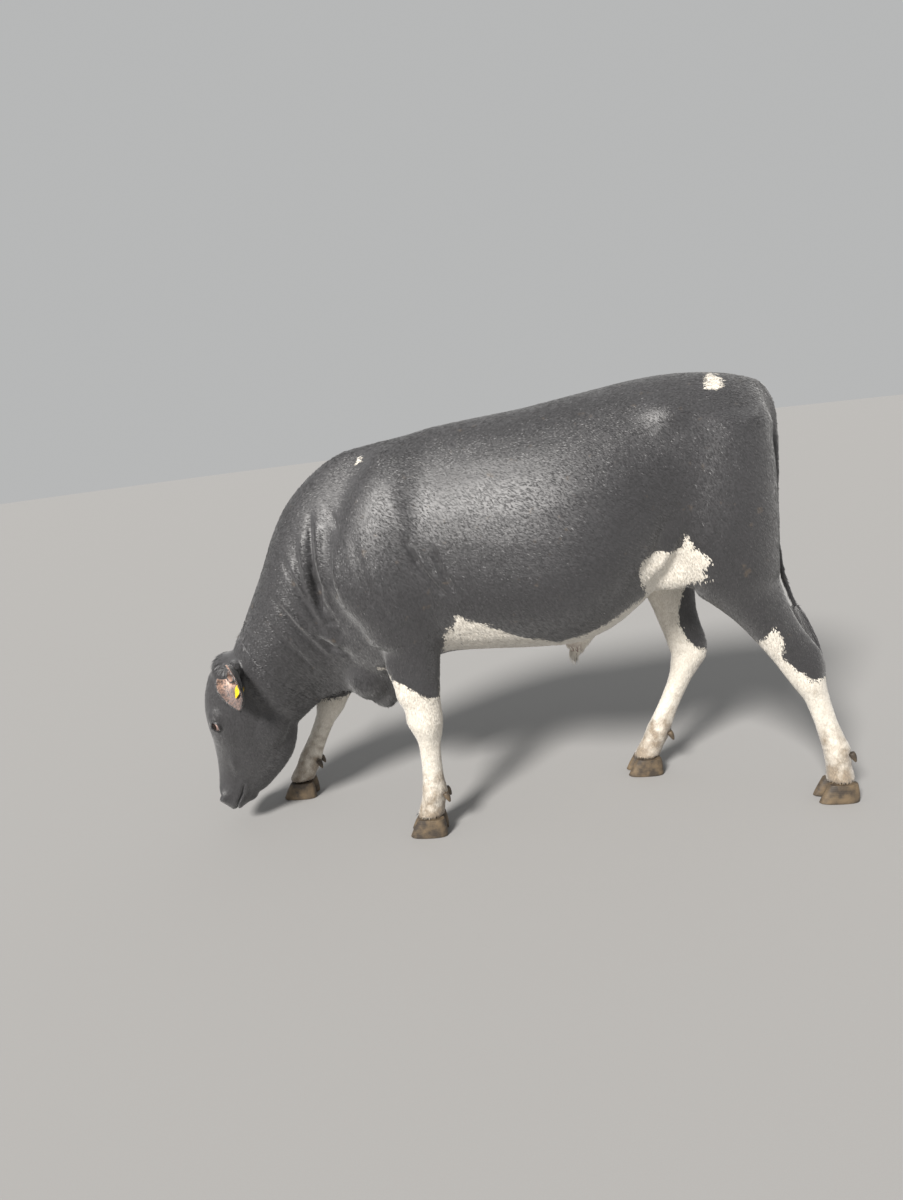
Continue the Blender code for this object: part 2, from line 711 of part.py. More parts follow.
def sculpt_mouth(mesh):
    """The line of the mouth on both sides and across the front, between the swell of the lips."""
    line = [(-1.152, 0.050), (-1.140, 0.082), (-1.122, 0.112), (-1.104, 0.142), (-1.086, 0.182)]
    places, _ = vertex_arrays(mesh)
    side_view = places[:, [0, 2]]
    press(mesh, distance_to_line(side_view, line), 0.014, -0.0035)
    press(mesh, distance_to_line(side_view, line), 0.0055, 0.0100)


def sculpt_nostrils(mesh):
    for side in (LEFT, RIGHT):
        line = [(-1.204, side * 0.026, 0.112), (-1.202, side * 0.043, 0.140), (-1.186, side * 0.062, 0.140)]
        places, _ = vertex_arrays(mesh)
        distance = distance_to_line(places, line)
        press(mesh, distance, 0.019, -0.0030)
        press(mesh, distance, 0.0095, 0.0170)


def sculpt_lids(mesh):
    """Raise an upper and a lower lid, which leave an almond of the ball open."""
    x, y, z = EYE_CENTRE
    slit = np.array([0.34, -0.94])
    for side in (LEFT, RIGHT):
        for raise_by, sign, height in ((0.0062, -1, 0.0135), (0.0048, 1, 0.0130)):
            cross = np.array([slit[1], -slit[0]]) * sign
            middle = np.array([x, z]) - cross * height
            corners = [np.array([x, z]) + slit * end * 0.021 for end in (-1, 1)]
            line = [(c[0], side * (y + 0.016), c[1]) for c in (corners[0], middle, corners[1])]
            places, _ = vertex_arrays(mesh)
            press(mesh, distance_to_line(places, line), 0.0075, -raise_by)


def sculpt_head(head):
    sculpt_mouth(head.data)
    sculpt_nostrils(head.data)
    sculpt_lids(head.data)


# Pieces set against the flesh


def ball(name, centre, radius, collection):
    bm = bmesh.new()
    turn = Matrix.Rotation(math.pi / 2, 4, "X")
    bmesh.ops.create_uvsphere(
        bm, u_segments=18, v_segments=10, radius=radius, matrix=Matrix.Translation(centre) @ turn
    )
    return object_from_bmesh(name, bm, collection)


def set_eye(head, side, name, parts, cutters):
    x, y, z = EYE_CENTRE
    centre = (x, side * y, z)
    boolean(head, ball("socket", centre, EYE_RADIUS + GAP, cutters), "DIFFERENCE")
    return ball(name, centre, EYE_RADIUS, parts)


def ear_outline(share):
    """Half width of the ear at a share of its length, as a part of its full half width."""
    return math.sin(math.pi * min(1.0, 0.16 + 0.84 * share) ** 0.85) ** 0.75


def ear_curl(share):
    """Roll and radius of the cup at a share of the ear's length, and how far its rib lies behind the axis."""
    half = 0.5 * EAR_WIDTH * max(0.10, ear_outline(share * 0.97))
    roll = math.radians(EAR_ROLL_ROOT + (EAR_ROLL_TIP - EAR_ROLL_ROOT) * share)
    radius = half / math.sin(min(roll, math.pi / 2))
    return roll, radius, -0.55 * radius - EAR_DROOP * share * share


def ear_shell(side, name, collection):
    """The leaf-shaped cup: rolled nearly shut at its root and flattening to its tip."""
    rows, columns = 9, 8
    along, opening, across = ear_frame(side)
    bm = bmesh.new()
    grid = []
    for i in range(rows):
        share = i / (rows - 1)
        roll, radius, rib = ear_curl(share)
        row = []
        for j in range(columns):
            angle = roll * (2 * j / (columns - 1) - 1)
            place = ear_base(side) + along * (EAR_START + share * EAR_LENGTH)
            place += opening * (rib + radius * (1 - math.cos(angle))) + across * radius * math.sin(angle)
            row.append(bm.verts.new(place))
        grid.append(row)
    for upper, lower in zip(grid, grid[1:]):
        for j in range(columns - 1):
            bm.faces.new((upper[j], upper[j + 1], lower[j + 1], lower[j]))
    bmesh.ops.triangulate(bm, faces=bm.faces)
    ear = object_from_bmesh(name, bm, collection)
    solidify = ear.modifiers.new("thickness", "SOLIDIFY")
    solidify.thickness = EAR_THICKNESS
    solidify.offset = 0.0
    solidify.use_even_offset = True
    return apply_modifiers(ear)


def outward(thing):
    """Turn all faces of a closed body outward."""
    bm = bmesh.new()
    bm.from_mesh(thing.data)
    bmesh.ops.recalc_face_normals(bm, faces=bm.faces)
    bm.to_mesh(thing.data)
    bm.free()
    return thing


def drum(point, normal, radius, length, segments, name, collection):
    """A drum that begins at a plane and reaches along its normal."""
    bm = bmesh.new()
    normal = Vector(normal).normalized()
    turn = normal.to_track_quat("Z", "Y").to_matrix().to_4x4()
    matrix = Matrix.Translation(Vector(point) + normal * length / 2) @ turn
    bmesh.ops.create_cone(
        bm, cap_ends=True, segments=segments, radius1=radius, radius2=radius, depth=length, matrix=matrix
    )
    return object_from_bmesh(name, bm, collection)


def beyond(point, normal, name, collection):
    """A drum that takes everything beyond a plane."""
    return drum(point, normal, *BEYOND_SIZE, DRUM_FACES, name, collection)


def set_ear(head, side, name, parts, cutters):
    """The ear, fused to the outer half of its root and parted from the head by a thin cut."""
    along, _, _ = ear_frame(side)
    base = ear_base(side) + along * EAR_CUT_SHIFT
    ear = outward(ear_shell(side, name, parts))
    boolean(ear, ear_root(side, cutters), "UNION")
    boolean(ear, beyond(base + along * GAP, along, "keep", cutters), "INTERSECT")
    boolean(head, drum(base, along, *EAR_CUT_SIZE, DRUM_FACES, "drop", cutters), "DIFFERENCE")
    return ear


def claw(name, coronet_x, y, spread_side, collection):
    """One horn claw with a flat sole at z = 0, a sloping toe wall and a rounded heel."""
    levels = [
        # height, front, back, half width
        (CLAW_TOP, CLAW_TOP_FRONT, CLAW_TOP_BACK, CLAW_HALF_WIDTH * 0.90),
        (CLAW_TOP * 0.5, CLAW_TOP_FRONT + 0.020, CLAW_TOP_BACK + 0.006, CLAW_HALF_WIDTH * 0.98),
        (0.004, CLAW_TOE_REACH - 0.002, CLAW_HEEL_REACH, CLAW_HALF_WIDTH),
        (0.0, CLAW_TOE_REACH - 0.006, CLAW_HEEL_REACH - 0.003, CLAW_HALF_WIDTH - 0.003),
    ]
    points = 16
    rings = []
    for height, front, back, half_width in levels:
        ring = []
        for step in range(points):
            angle = 2 * math.pi * step / points
            reach, side = math.cos(angle), math.sin(angle)
            length = front * abs(reach) if reach > 0 else back * abs(reach) ** 0.8
            x = coronet_x - length if reach > 0 else coronet_x + length
            width = half_width * math.copysign(abs(side) ** 0.75, side)
            inner = side * spread_side < 0
            ring.append((x, y + spread_side * CLAW_SPREAD + width * (0.92 if inner else 1.0), height))
        rings.append(ring)
    return loft_rings(name, rings, collection)


def dewclaw(name, place, aim, radius, length, collection):
    bm = bmesh.new()
    aim = Vector(aim).normalized()
    matrix = Matrix.Translation(place) @ aim.to_track_quat("Z", "Y").to_matrix().to_4x4()
    bmesh.ops.create_cone(
        bm, cap_ends=True, segments=10, radius1=radius, radius2=radius * 0.45, depth=length, matrix=matrix
    )
    return object_from_bmesh(name, bm, collection)


def set_foot(leg, label, joints, y, parts, cutters):
    """Cut the leg off flat above the claws, then add two claws and two dewclaws."""
    coronet_x = joints["coronet"][0]
    floor_box = box(
        "drop", (coronet_x - 0.2, y - 0.12, -0.10), (coronet_x + 0.2, y + 0.12, CLAW_TOP + GAP), cutters
    )
    boolean(leg, floor_box, "DIFFERENCE")
    feet = []
    for spread_side, place in ((-1, "left"), (1, "right")):
        feet.append(claw(f"claw_{label}_{place}", coronet_x, y, spread_side, parts))
        fetlock = joints["fetlock"]
        back, aside, rise = DEWCLAW_SPOT
        spot = (fetlock[0] + back, y + spread_side * aside, fetlock[1] + rise)
        aim = (DEWCLAW_AIM[0], spread_side * DEWCLAW_AIM[1], DEWCLAW_AIM[2])
        sized = (DEWCLAW_RADIUS + GAP, DEWCLAW_LENGTH + 2 * GAP)
        boolean(leg, dewclaw("socket", spot, aim, *sized, cutters), "DIFFERENCE")
        feet.append(
            dewclaw(f"dewclaw_{label}_{place}", spot, aim, DEWCLAW_RADIUS, DEWCLAW_LENGTH, parts)
        )
    return feet


def tube(name, line, points, steps, collection):
    """A round, tapering body along a smooth line of (x, y, z, radius)."""
    rows = smooth_rows(line, steps)
    rings = []
    for i, row in enumerate(rows):
        ahead = Vector(rows[min(i + 1, len(rows) - 1)][:3]) - Vector(rows[max(i - 1, 0)][:3])
        across = ahead.cross(Vector((0, 1, 0))).normalized()
        aside = ahead.cross(across).normalized()
        ring = []
        for step in range(points):
            angle = 2 * math.pi * step / points
            ring.append(Vector(row[:3]) + (across * math.cos(angle) + aside * math.sin(angle)) * row[3])
        rings.append(ring)
    return loft_rings(name, rings, collection)


def lock(line, width, thickness, facing, collection):
    """A flat lock of hair that tapers to its tip along a smooth line, its flat side turned to facing."""
    rows = smooth_rows(line, LOCK_STEPS)
    rings = []
    for i, row in enumerate(rows):
        share = i / (len(rows) - 1)
        swell = LOCK_ROOT + LOCK_BELLY * share * (1 - share) + (LOCK_TIP - LOCK_ROOT) * share * share
        here = Vector(row)
        ahead = Vector(rows[min(i + 1, len(rows) - 1)]) - Vector(rows[max(i - 1, 0)])
        aside = ahead.cross(facing).normalized()
        out = aside.cross(ahead).normalized()
        flat = aside * width * swell
        thick = out * thickness * swell
        rings.append([here - flat, here - thick, here + flat, here + thick])
    return loft_rings("lock", rings, collection)


def add_locks(core, locks):
    """Fuse the locks with the core one by one."""
    for piece in locks:
        boolean(core, piece, "UNION")
    return core


def along_line(line, share):
    """The row at a share of a line's given rows, on the smooth curve through them."""
    step = min(share, 0.9999) * (len(line) - 1)
    i = int(step)
    return catmull_rom(line[max(i - 1, 0)], line[i], line[i + 1], line[min(i + 2, len(line) - 1)], step - i)


def switch_locks(collection):
    """Locks that leave the switch's core at differing heights, overlap, and hang to uneven tips."""
    locks = []
    for i in range(SWITCH_LOCKS):
        turn = i * GOLDEN_ANGLE
        out = Vector((math.cos(turn), math.sin(turn), 0))
        start = 0.08 + 0.34 * i / SWITCH_LOCKS
        tip = 1.0 - 0.16 * ((i * 5) % SWITCH_LOCKS) / SWITCH_LOCKS
        line = []
        for share, spread in ((start, 0.35), (0.55 * start + 0.45 * tip, 0.95), (tip, 0.55)):
            row = along_line(SWITCH_LINE, share)
            line.append(tuple(Vector(row[:3]) + out * row[3] * spread))
        locks.append(lock(line, *SWITCH_LOCK_SIZE, out, collection))
    return locks


def sheath_locks(collection):
    """The tuft that hangs from the sheath's mouth."""
    locks = []
    for i in range(SHEATH_LOCKS):
        turn = i * GOLDEN_ANGLE
        out = Vector((math.cos(turn), math.sin(turn), 0))
        root = Vector(SHEATH_MOUTH) + Vector((0, 0, 0.014))
        length = SHEATH_LOCK_LENGTH * (1.0 - 0.10 * i)
        line = [root + out * 0.006, root + out * 0.013 - Vector((0, 0, 0.55 * length))]
        line.append(root + out * 0.010 - Vector((0.006, 0, length)))
        locks.append(lock([tuple(point) for point in line], *SHEATH_LOCK_SIZE, out, collection))
    return locks


def make_tail(trunk_body, parts, cutters):
    """The dock and its switch, hung behind the thighs from a stub that stays on the rump."""
    start = Vector(TAIL_LINE[1][:3])
    aim = Vector(TAIL_LINE[2][:3]) - Vector(TAIL_LINE[0][:3])
    tail = tube("tail", TAIL_LINE, 10, 2, parts)
    boolean(tail, beyond(start + aim.normalized() * GAP, aim, "keep", cutters), "INTERSECT")
    boolean(trunk_body, drum(start, aim, *TAIL_ROOM_SIZE, DRUM_FACES, "drop", cutters), "DIFFERENCE")
    room = tube("room", [(*place, radius + GAP) for *place, radius in TAIL_LINE], 10, 2, cutters)
    boolean(room, beyond(start, aim, "keep", cutters), "INTERSECT")
    boolean(trunk_body, room, "DIFFERENCE")
    join_at = Vector(SWITCH_LINE[0][:3])
    down = Vector(SWITCH_LINE[1][:3]) - join_at
    rows = [tuple(along_line(SWITCH_LINE, SWITCH_CORE_SHARE * i / 5)) for i in range(6)]
    rows[-1] = (*rows[-1][:3], 0.35 * rows[-1][3])
    switch = add_locks(tube("tail_switch", rows, 10, 1, parts), switch_locks(cutters))
    boolean(switch, beyond(join_at + down.normalized() * SWITCH_START, down, "keep", cutters), "INTERSECT")
    end = join_at + down.normalized() * (SWITCH_START - GAP)
    longer = tube("tail_end", SWITCH_LINE[:3], 10, 2, cutters)
    boolean(tail, longer, "UNION")
    boolean(tail, beyond(end, down, "drop", cutters), "DIFFERENCE")
    return tail, switch


def make_tag(ear, parts, cutters):
    """A flag tag: a plate inside the cup and a button behind it, joined by a pin through the ear."""
    along, opening, across = ear_frame(LEFT)
    _, _, rib = ear_curl(TAG_PLACE)
    middle = ear_base(LEFT) + along * (EAR_START + TAG_PLACE * EAR_LENGTH) + opening * rib
    turn = Matrix((across, along, opening)).transposed().to_4x4()
    solids = []
    for name, lift, hang, sizes in (
        ("ear_tag", TAG_CLEARANCE, TAG_HANG, TAG_PLATE),
        ("tag_button", -TAG_CLEARANCE, 0.0, TAG_BUTTON),
    ):
        bm = bmesh.new()
        place = Matrix.Translation(middle + opening * lift + along * hang)
        bmesh.ops.create_cube(bm, size=1.0, matrix=place @ turn @ Matrix.Diagonal((*sizes, 1.0)))
        solids.append(object_from_bmesh(name, bm, parts))
    start = middle - opening * TAG_CLEARANCE
    pin = drum(start, opening, TAG_PIN_RADIUS, 2 * TAG_CLEARANCE, 12, "pin", cutters)
    hole = drum(start, opening, TAG_PIN_RADIUS + GAP, 2 * TAG_CLEARANCE, 12, "hole", cutters)
    tag = boolean(boolean(solids[0], pin, "UNION"), solids[1], "UNION")
    boolean(ear, hole, "DIFFERENCE")
    return tag


def finish(thing, material):
    thing.data.materials.clear()
    thing.data.materials.append(material)
    thing.data.shade_smooth()
    thing.data.set_sharp_from_angle(angle=math.radians(50))


def centre_on_floor(parts):
    """Move everything so that the middle of the bounding box stands over the origin."""
    corners = []
    for thing in parts.objects:
        places, _ = vertex_arrays(thing.data)
        corners += [places.min(axis=0), places.max(axis=0)]
    lowest, highest = np.min(corners, axis=0), np.max(corners, axis=0)
    middle = (lowest + highest) / 2
    for thing in parts.objects:
        thing.data.transform(Matrix.Translation((-middle[0], -middle[1], 0)))


def side_of(name):
    return LEFT if name.endswith("left") else RIGHT


def build():
    clear_scene()
    materials = make_materials()
    parts = new_collection("friesian_bull")
    cutters = new_collection("cutters")

    # The body: trunk, neck and legs in one, then parted
    flesh = trunk(cutters) + neck(cutters) + flank_and_sheath(cutters)
    flesh.append(tube("tail_stub", [(0.700, 0, 1.400, 0.030)] + TAIL_LINE[:3], 16, 3, cutters))
    for side in (LEFT, RIGHT):
        flesh.append(shoulder(side, cutters))
        flesh.append(haunch(side, cutters))
        flesh.append(leg_flesh("foreleg", FORE_JOINTS[side], FORELEG_FLESH, side * FORE_LATERAL, cutters))
        flesh.append(leg_flesh("hindleg", HIND_JOINTS[side], HINDLEG_FLESH, side * HIND_LATERAL, cutters))
    body = blend("trunk", flesh, BODY_VOXEL, BODY_SMOOTHING, parts)
    soften_above(body, TRUNK_SMOOTHING, 0.62, 0.85)
    thin_out(body, BODY_TRIANGLES)

    finished = {}
    for name, (joints, upper, lower, share, sizes, y_range) in LEG_CUTS.items():
        start, end = Vector(joints[upper]), Vector(joints[lower])
        point = start.lerp(end, share)
        leg = part_off(body, name, point, end - start, (-1, 0), sizes, y_range, parts, cutters)
        y = side_of(name) * (FORE_LATERAL if name.startswith("fore") else HIND_LATERAL)
        for piece in set_foot(leg, name.replace("leg", ""), joints, y, parts, cutters):
            finished[piece] = "horn"
        finished[leg] = "white_coat"

    tail, switch = make_tail(body, parts, cutters)
    neck_cut = ((-0.625, 0.90), (-1.0, 0.06), (0, 1), (0.60, 0.70, 0.70, 0.0), (-0.40, 0.40))
    neck_body = part_off(body, "neck", *neck_cut, parts, cutters)
    sheath_cut = ((0.150, 0.590), (0, -1), (-1, 0), (0.07, 0.09, 0.10, 0.0), (-0.06, 0.06))
    sheath = add_locks(part_off(body, "sheath", *sheath_cut, parts, cutters), sheath_locks(cutters))

    # The head, blended finer with the end of the neck, then cut off at the nape
    roots = [ear_root(side, cutters) for side in (LEFT, RIGHT)]
    head = blend("head", skull(cutters) + neck(cutters) + roots, HEAD_VOXEL, HEAD_SMOOTHING, parts)
    nape, throat = Vector((-1.035, 0.735)), Vector((-0.790, 0.440))
    middle, line = nape.lerp(throat, 0.5), nape - throat
    forward = Vector((-line[1], line[0])).normalized()
    if forward[0] > 0:
        forward.negate()
    nape_sizes, nape_range = (0.4, 0.4, 0.60, 0.0), (-0.3, 0.3)
    keep = slab_region("keep", middle, forward, (0, 1), nape_sizes, nape_range, cutters)
    boolean(head, keep, "INTERSECT")
    drop = slab_region("drop", middle - forward * GAP, forward, (0, 1), nape_sizes, nape_range, cutters)
    boolean(neck_body, drop, "DIFFERENCE")
    sculpt_head(head)
    thin_out(head, HEAD_TRIANGLES)
    for side, word in ((LEFT, "left"), (RIGHT, "right")):
        finished[set_eye(head, side, f"eye_{word}", parts, cutters)] = "eye"
        ear = set_ear(head, side, f"ear_{word}", parts, cutters)
        finished[ear] = "black_coat"
        if side == LEFT:
            finished[make_tag(ear, parts, cutters)] = "yellow_plastic"

    for thing in (body, neck_body, head, tail, switch):
        finished[thing] = "black_coat"
    finished[sheath] = "pink_skin"
    for thing, slot in finished.items():
        finish(thing, materials[slot])
    centre_on_floor(parts)


build()
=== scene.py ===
"""Looks of a still, life-size Friesian bull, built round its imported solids.

One skin replaces the nodes of flesh. It is remeshed from them, smoothed, sculpted at named landmarks and
carries the markings. Short solid tufts lie over it along the lie of the coat, with longer locks where the
bull has them. Eyes, horn claws and the ear tag are pieces of their own.

Landmarks are given in the bull's side view: x runs from the head to the tail, z is the height, and y is the
distance from the middle plane, in metres. The bull's left side, which the camera sees, has y below zero.
"""

import math

import bmesh
import bpy
import numpy as np
from mathutils import Matrix, Vector, noise
from mathutils.bvhtree import BVHTree


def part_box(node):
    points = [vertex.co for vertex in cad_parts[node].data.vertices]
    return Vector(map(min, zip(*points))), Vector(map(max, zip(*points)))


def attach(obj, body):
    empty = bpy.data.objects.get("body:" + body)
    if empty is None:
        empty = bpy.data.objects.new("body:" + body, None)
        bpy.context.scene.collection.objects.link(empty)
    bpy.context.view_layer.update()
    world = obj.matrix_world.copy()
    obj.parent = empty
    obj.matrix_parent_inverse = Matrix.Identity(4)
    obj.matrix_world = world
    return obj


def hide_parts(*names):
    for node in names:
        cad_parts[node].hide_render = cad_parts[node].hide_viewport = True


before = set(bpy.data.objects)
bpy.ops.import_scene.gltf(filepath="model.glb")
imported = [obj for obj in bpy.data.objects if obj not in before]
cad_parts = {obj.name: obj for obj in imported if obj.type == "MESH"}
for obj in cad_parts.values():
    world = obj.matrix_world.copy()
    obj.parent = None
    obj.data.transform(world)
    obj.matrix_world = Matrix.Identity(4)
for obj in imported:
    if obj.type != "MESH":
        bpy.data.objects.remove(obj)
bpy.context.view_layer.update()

# The side view's origin in the frame, found from the left eye, whose place there is known
EYE = (-1.128, 0.0965, 0.432)
EYE_RADIUS = 0.0205
eye_low, eye_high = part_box("eye_left")
ORIGIN = Vector(((eye_low[0] + eye_high[0]) / 2 - EYE[0], 0.0, 0.0))
LEFT, RIGHT = -1, 1

# The camera, as worked out from the photo: a 903 x 1200 picture taken standing, tilted down and to one side
CAMERA_PLACE = (0.0, -2.613, 1.390)
CAMERA_PITCH = math.radians(13.1)
CAMERA_ROLL = math.radians(-6.97)
CAMERA_YAW = math.radians(5.5)
FOCAL_LENGTH_PIXELS = 775
PICTURE_HEIGHT_PIXELS = 1200
SENSOR_SIZE = 36

# Skin: voxel sizes, depth of the coat over it, and smoothing passes
BODY_VOXEL = 0.0065
HEAD_VOXEL = 0.0026
SMOOTHING_PASSES = 34
COAT_DEPTH = 0.0042
EAR_NODES = ("ear_left", "ear_right")
EAR_BLEND = 0.010
LEG_NODES = ("foreleg_left", "foreleg_right", "hindleg_left", "hindleg_right")
FLESH_NODES = ("trunk", "neck", "head", "sheath", "tail", *LEG_NODES, *EAR_NODES)

# The plane through nape and throat where the finely meshed head is grafted to the body, how far back it reaches,
# and the rounds of smoothing there
GRAFT_POINT = (-0.898, 0.0, 0.600)
GRAFT_NORMAL = (-0.769, 0.0, -0.639)
GRAFT_BACK = -0.70
GRAFT_OVERLAP = 0.002
GRAFT_BAND = (0.012, 0.030)
GRAFT_ROUNDS = 10

# Eyes: the lids' slit runs along the face; lid thickness and half openings
EYE_SLIT = (0.34, 0.0, -0.94)
EYE_OUTWARD = (-0.20, 1.0, 0.05)
LID_THICKNESS = 0.0032
SLIT_HALF_LENGTH = 0.0200
UPPER_OPENING = 0.0105
LOWER_OPENING = 0.0100
GAZE_SHIFT = 0.0080
LID_REACH = 0.060
LID_FADE = 0.0090
LID_CREASE = (0.0085, 0.0022)
SLIT_DEPTH = 0.0045
CORNEA_DOME = 0.035
CORNEA_EDGE = (0.70, 0.92)

# Places on either side of the head where the skin is split finer, and how far round them: the eyes twice, then
# nostrils and mouth
FINE_PLACES = [
    ((EYE[0], EYE[1] + 0.012, EYE[2]), 0.040),
    ((EYE[0], EYE[1] + 0.012, EYE[2]), 0.027),
    ((-1.195, 0.045, 0.130), 0.036),
    ((-1.120, 0.050, 0.110), 0.050),
]

# Folds and creases in the side view: line, half width and depth (below zero raises), and how deep they are
# on the right side, where the neck isn't bent
FOLDS = [
    # creases in front of the shoulder, deepest where the neck's skin bags over it
    ([(-0.671, 1.146), (-0.674, 1.048), (-0.677, 0.965), (-0.675, 0.898)], 0.010, 0.010),
    ([(-0.677, 0.965), (-0.675, 0.898), (-0.676, 0.847), (-0.652, 0.786)], 0.016, 0.026),
    ([(-0.652, 0.800), (-0.625, 0.742)], 0.012, 0.012),
    ([(-0.645, 1.120), (-0.648, 1.030), (-0.648, 0.950), (-0.645, 0.880)], 0.016, -0.009),
    ([(-0.706, 1.100), (-0.708, 1.000), (-0.708, 0.900)], 0.016, -0.008),
    ([(-0.602, 1.034), (-0.614, 0.979), (-0.614, 0.913), (-0.593, 0.854)], 0.009, 0.011),
    ([(-0.585, 1.030), (-0.590, 0.960), (-0.582, 0.890)], 0.014, -0.006),
    # wrinkles across the neck
    ([(-0.787, 1.008), (-0.758, 0.938), (-0.735, 0.874), (-0.711, 0.814), (-0.682, 0.741)], 0.010, 0.008),
    ([(-0.770, 1.020), (-0.740, 0.950), (-0.712, 0.870)], 0.014, -0.006),
    ([(-0.734, 1.043), (-0.721, 0.900), (-0.703, 0.823)], 0.008, 0.006),
    ([(-0.840, 0.876), (-0.799, 0.820), (-0.759, 0.746), (-0.727, 0.690), (-0.691, 0.633)], 0.010, 0.009),
    ([(-0.820, 0.890), (-0.780, 0.825), (-0.735, 0.745)], 0.015, -0.006),
    ([(-0.875, 0.800), (-0.830, 0.735), (-0.785, 0.665), (-0.750, 0.600)], 0.009, 0.006),
    ([(-0.711, 0.721), (-0.670, 0.674), (-0.622, 0.648)], 0.012, 0.016),
    ([(-0.700, 0.760), (-0.650, 0.700), (-0.600, 0.680)], 0.018, -0.010),
    ([(-0.616, 1.175), (-0.586, 1.118), (-0.550, 1.040)], 0.009, 0.005),
    # creases between shoulder, elbow and chest
    ([(-0.346, 1.031), (-0.310, 0.955), (-0.257, 0.873), (-0.224, 0.838)], 0.008, 0.009),
    ([(-0.325, 1.020), (-0.288, 0.940), (-0.240, 0.862)], 0.010, -0.006),
    ([(-0.271, 1.014), (-0.244, 0.933), (-0.209, 0.856)], 0.008, 0.009),
    ([(-0.514, 1.060), (-0.491, 0.936), (-0.466, 0.862), (-0.409, 0.764)], 0.014, 0.006),
    ([(-0.380, 1.240), (-0.365, 1.120), (-0.340, 1.030)], 0.028, -0.003),
    # flank fold up from the stifle
    ([(0.350, 0.830), (0.420, 0.930), (0.455, 1.040)], 0.022, 0.010),
    ([(0.395, 0.830), (0.460, 0.920), (0.500, 1.010)], 0.018, -0.009),
]
RIGHT_FOLDS = 0.35
FOLD_END = 0.06

# Swells of flesh: line, half width and rise
SWELLS = [
    # the left forearm's front, down to the knee
    ([(-0.470, -0.180, 0.610), (-0.438, -0.180, 0.520)], 0.050, 0.024),
    ([(-0.430, -0.180, 0.500), (-0.424, -0.180, 0.420)], 0.036, 0.009),
]

# The hollow behind the shoulder blades in the side view, how far it is evened out, and in how many rounds
SHOULDER_HOLLOW = [(-0.325, 1.300), (-0.348, 1.180), (-0.352, 1.080), (-0.345, 0.940)]
HOLLOW_REACH = (0.045, 0.090)
HOLLOW_ROUNDS = 90

# Mouth and nostril: their lines, the lips' or rim's half width and swell, and the slit's or hole's half width
# and depth
MOUTH = [(-1.152, 0.048), (-1.140, 0.082), (-1.122, 0.112), (-1.104, 0.142), (-1.086, 0.182)]
MOUTH_BACK = -1.05
LIPS = (0.013, 0.0028)
LIP_SLIT = (0.0030, 0.0068)
LIP_EDGE = 0.0045
NOSTRIL = [(-1.203, 0.027, 0.110), (-1.202, 0.042, 0.138), (-1.190, 0.058, 0.143), (-1.180, 0.064, 0.134)]
NOSTRIL_RIM = (0.015, 0.0030)
NOSTRIL_HOLE = (0.0068, 0.016)
NOSTRIL_INWARD = (0.75, -0.35, 0.35)
NOSTRIL_EDGE = 0.0075

# Where the muzzle's bare leather fades in: forwards, upwards and sideways
MUZZLE_FRONT = (1.150, 1.172)
MUZZLE_TOP = (0.150, 0.172)
MUZZLE_SIDE = (0.052, 0.066)

# The bare sheath's mouth, and where the hair in it is rooted
SHEATH_MOUTH = (0.155, 0.0, 0.555)
SHEATH_BARE = 0.035
SHEATH_HAIR = (0.152, 0.0, 0.566)

# Heights between which the mud thins out
MUD_HEIGHTS = (0.03, 0.42)

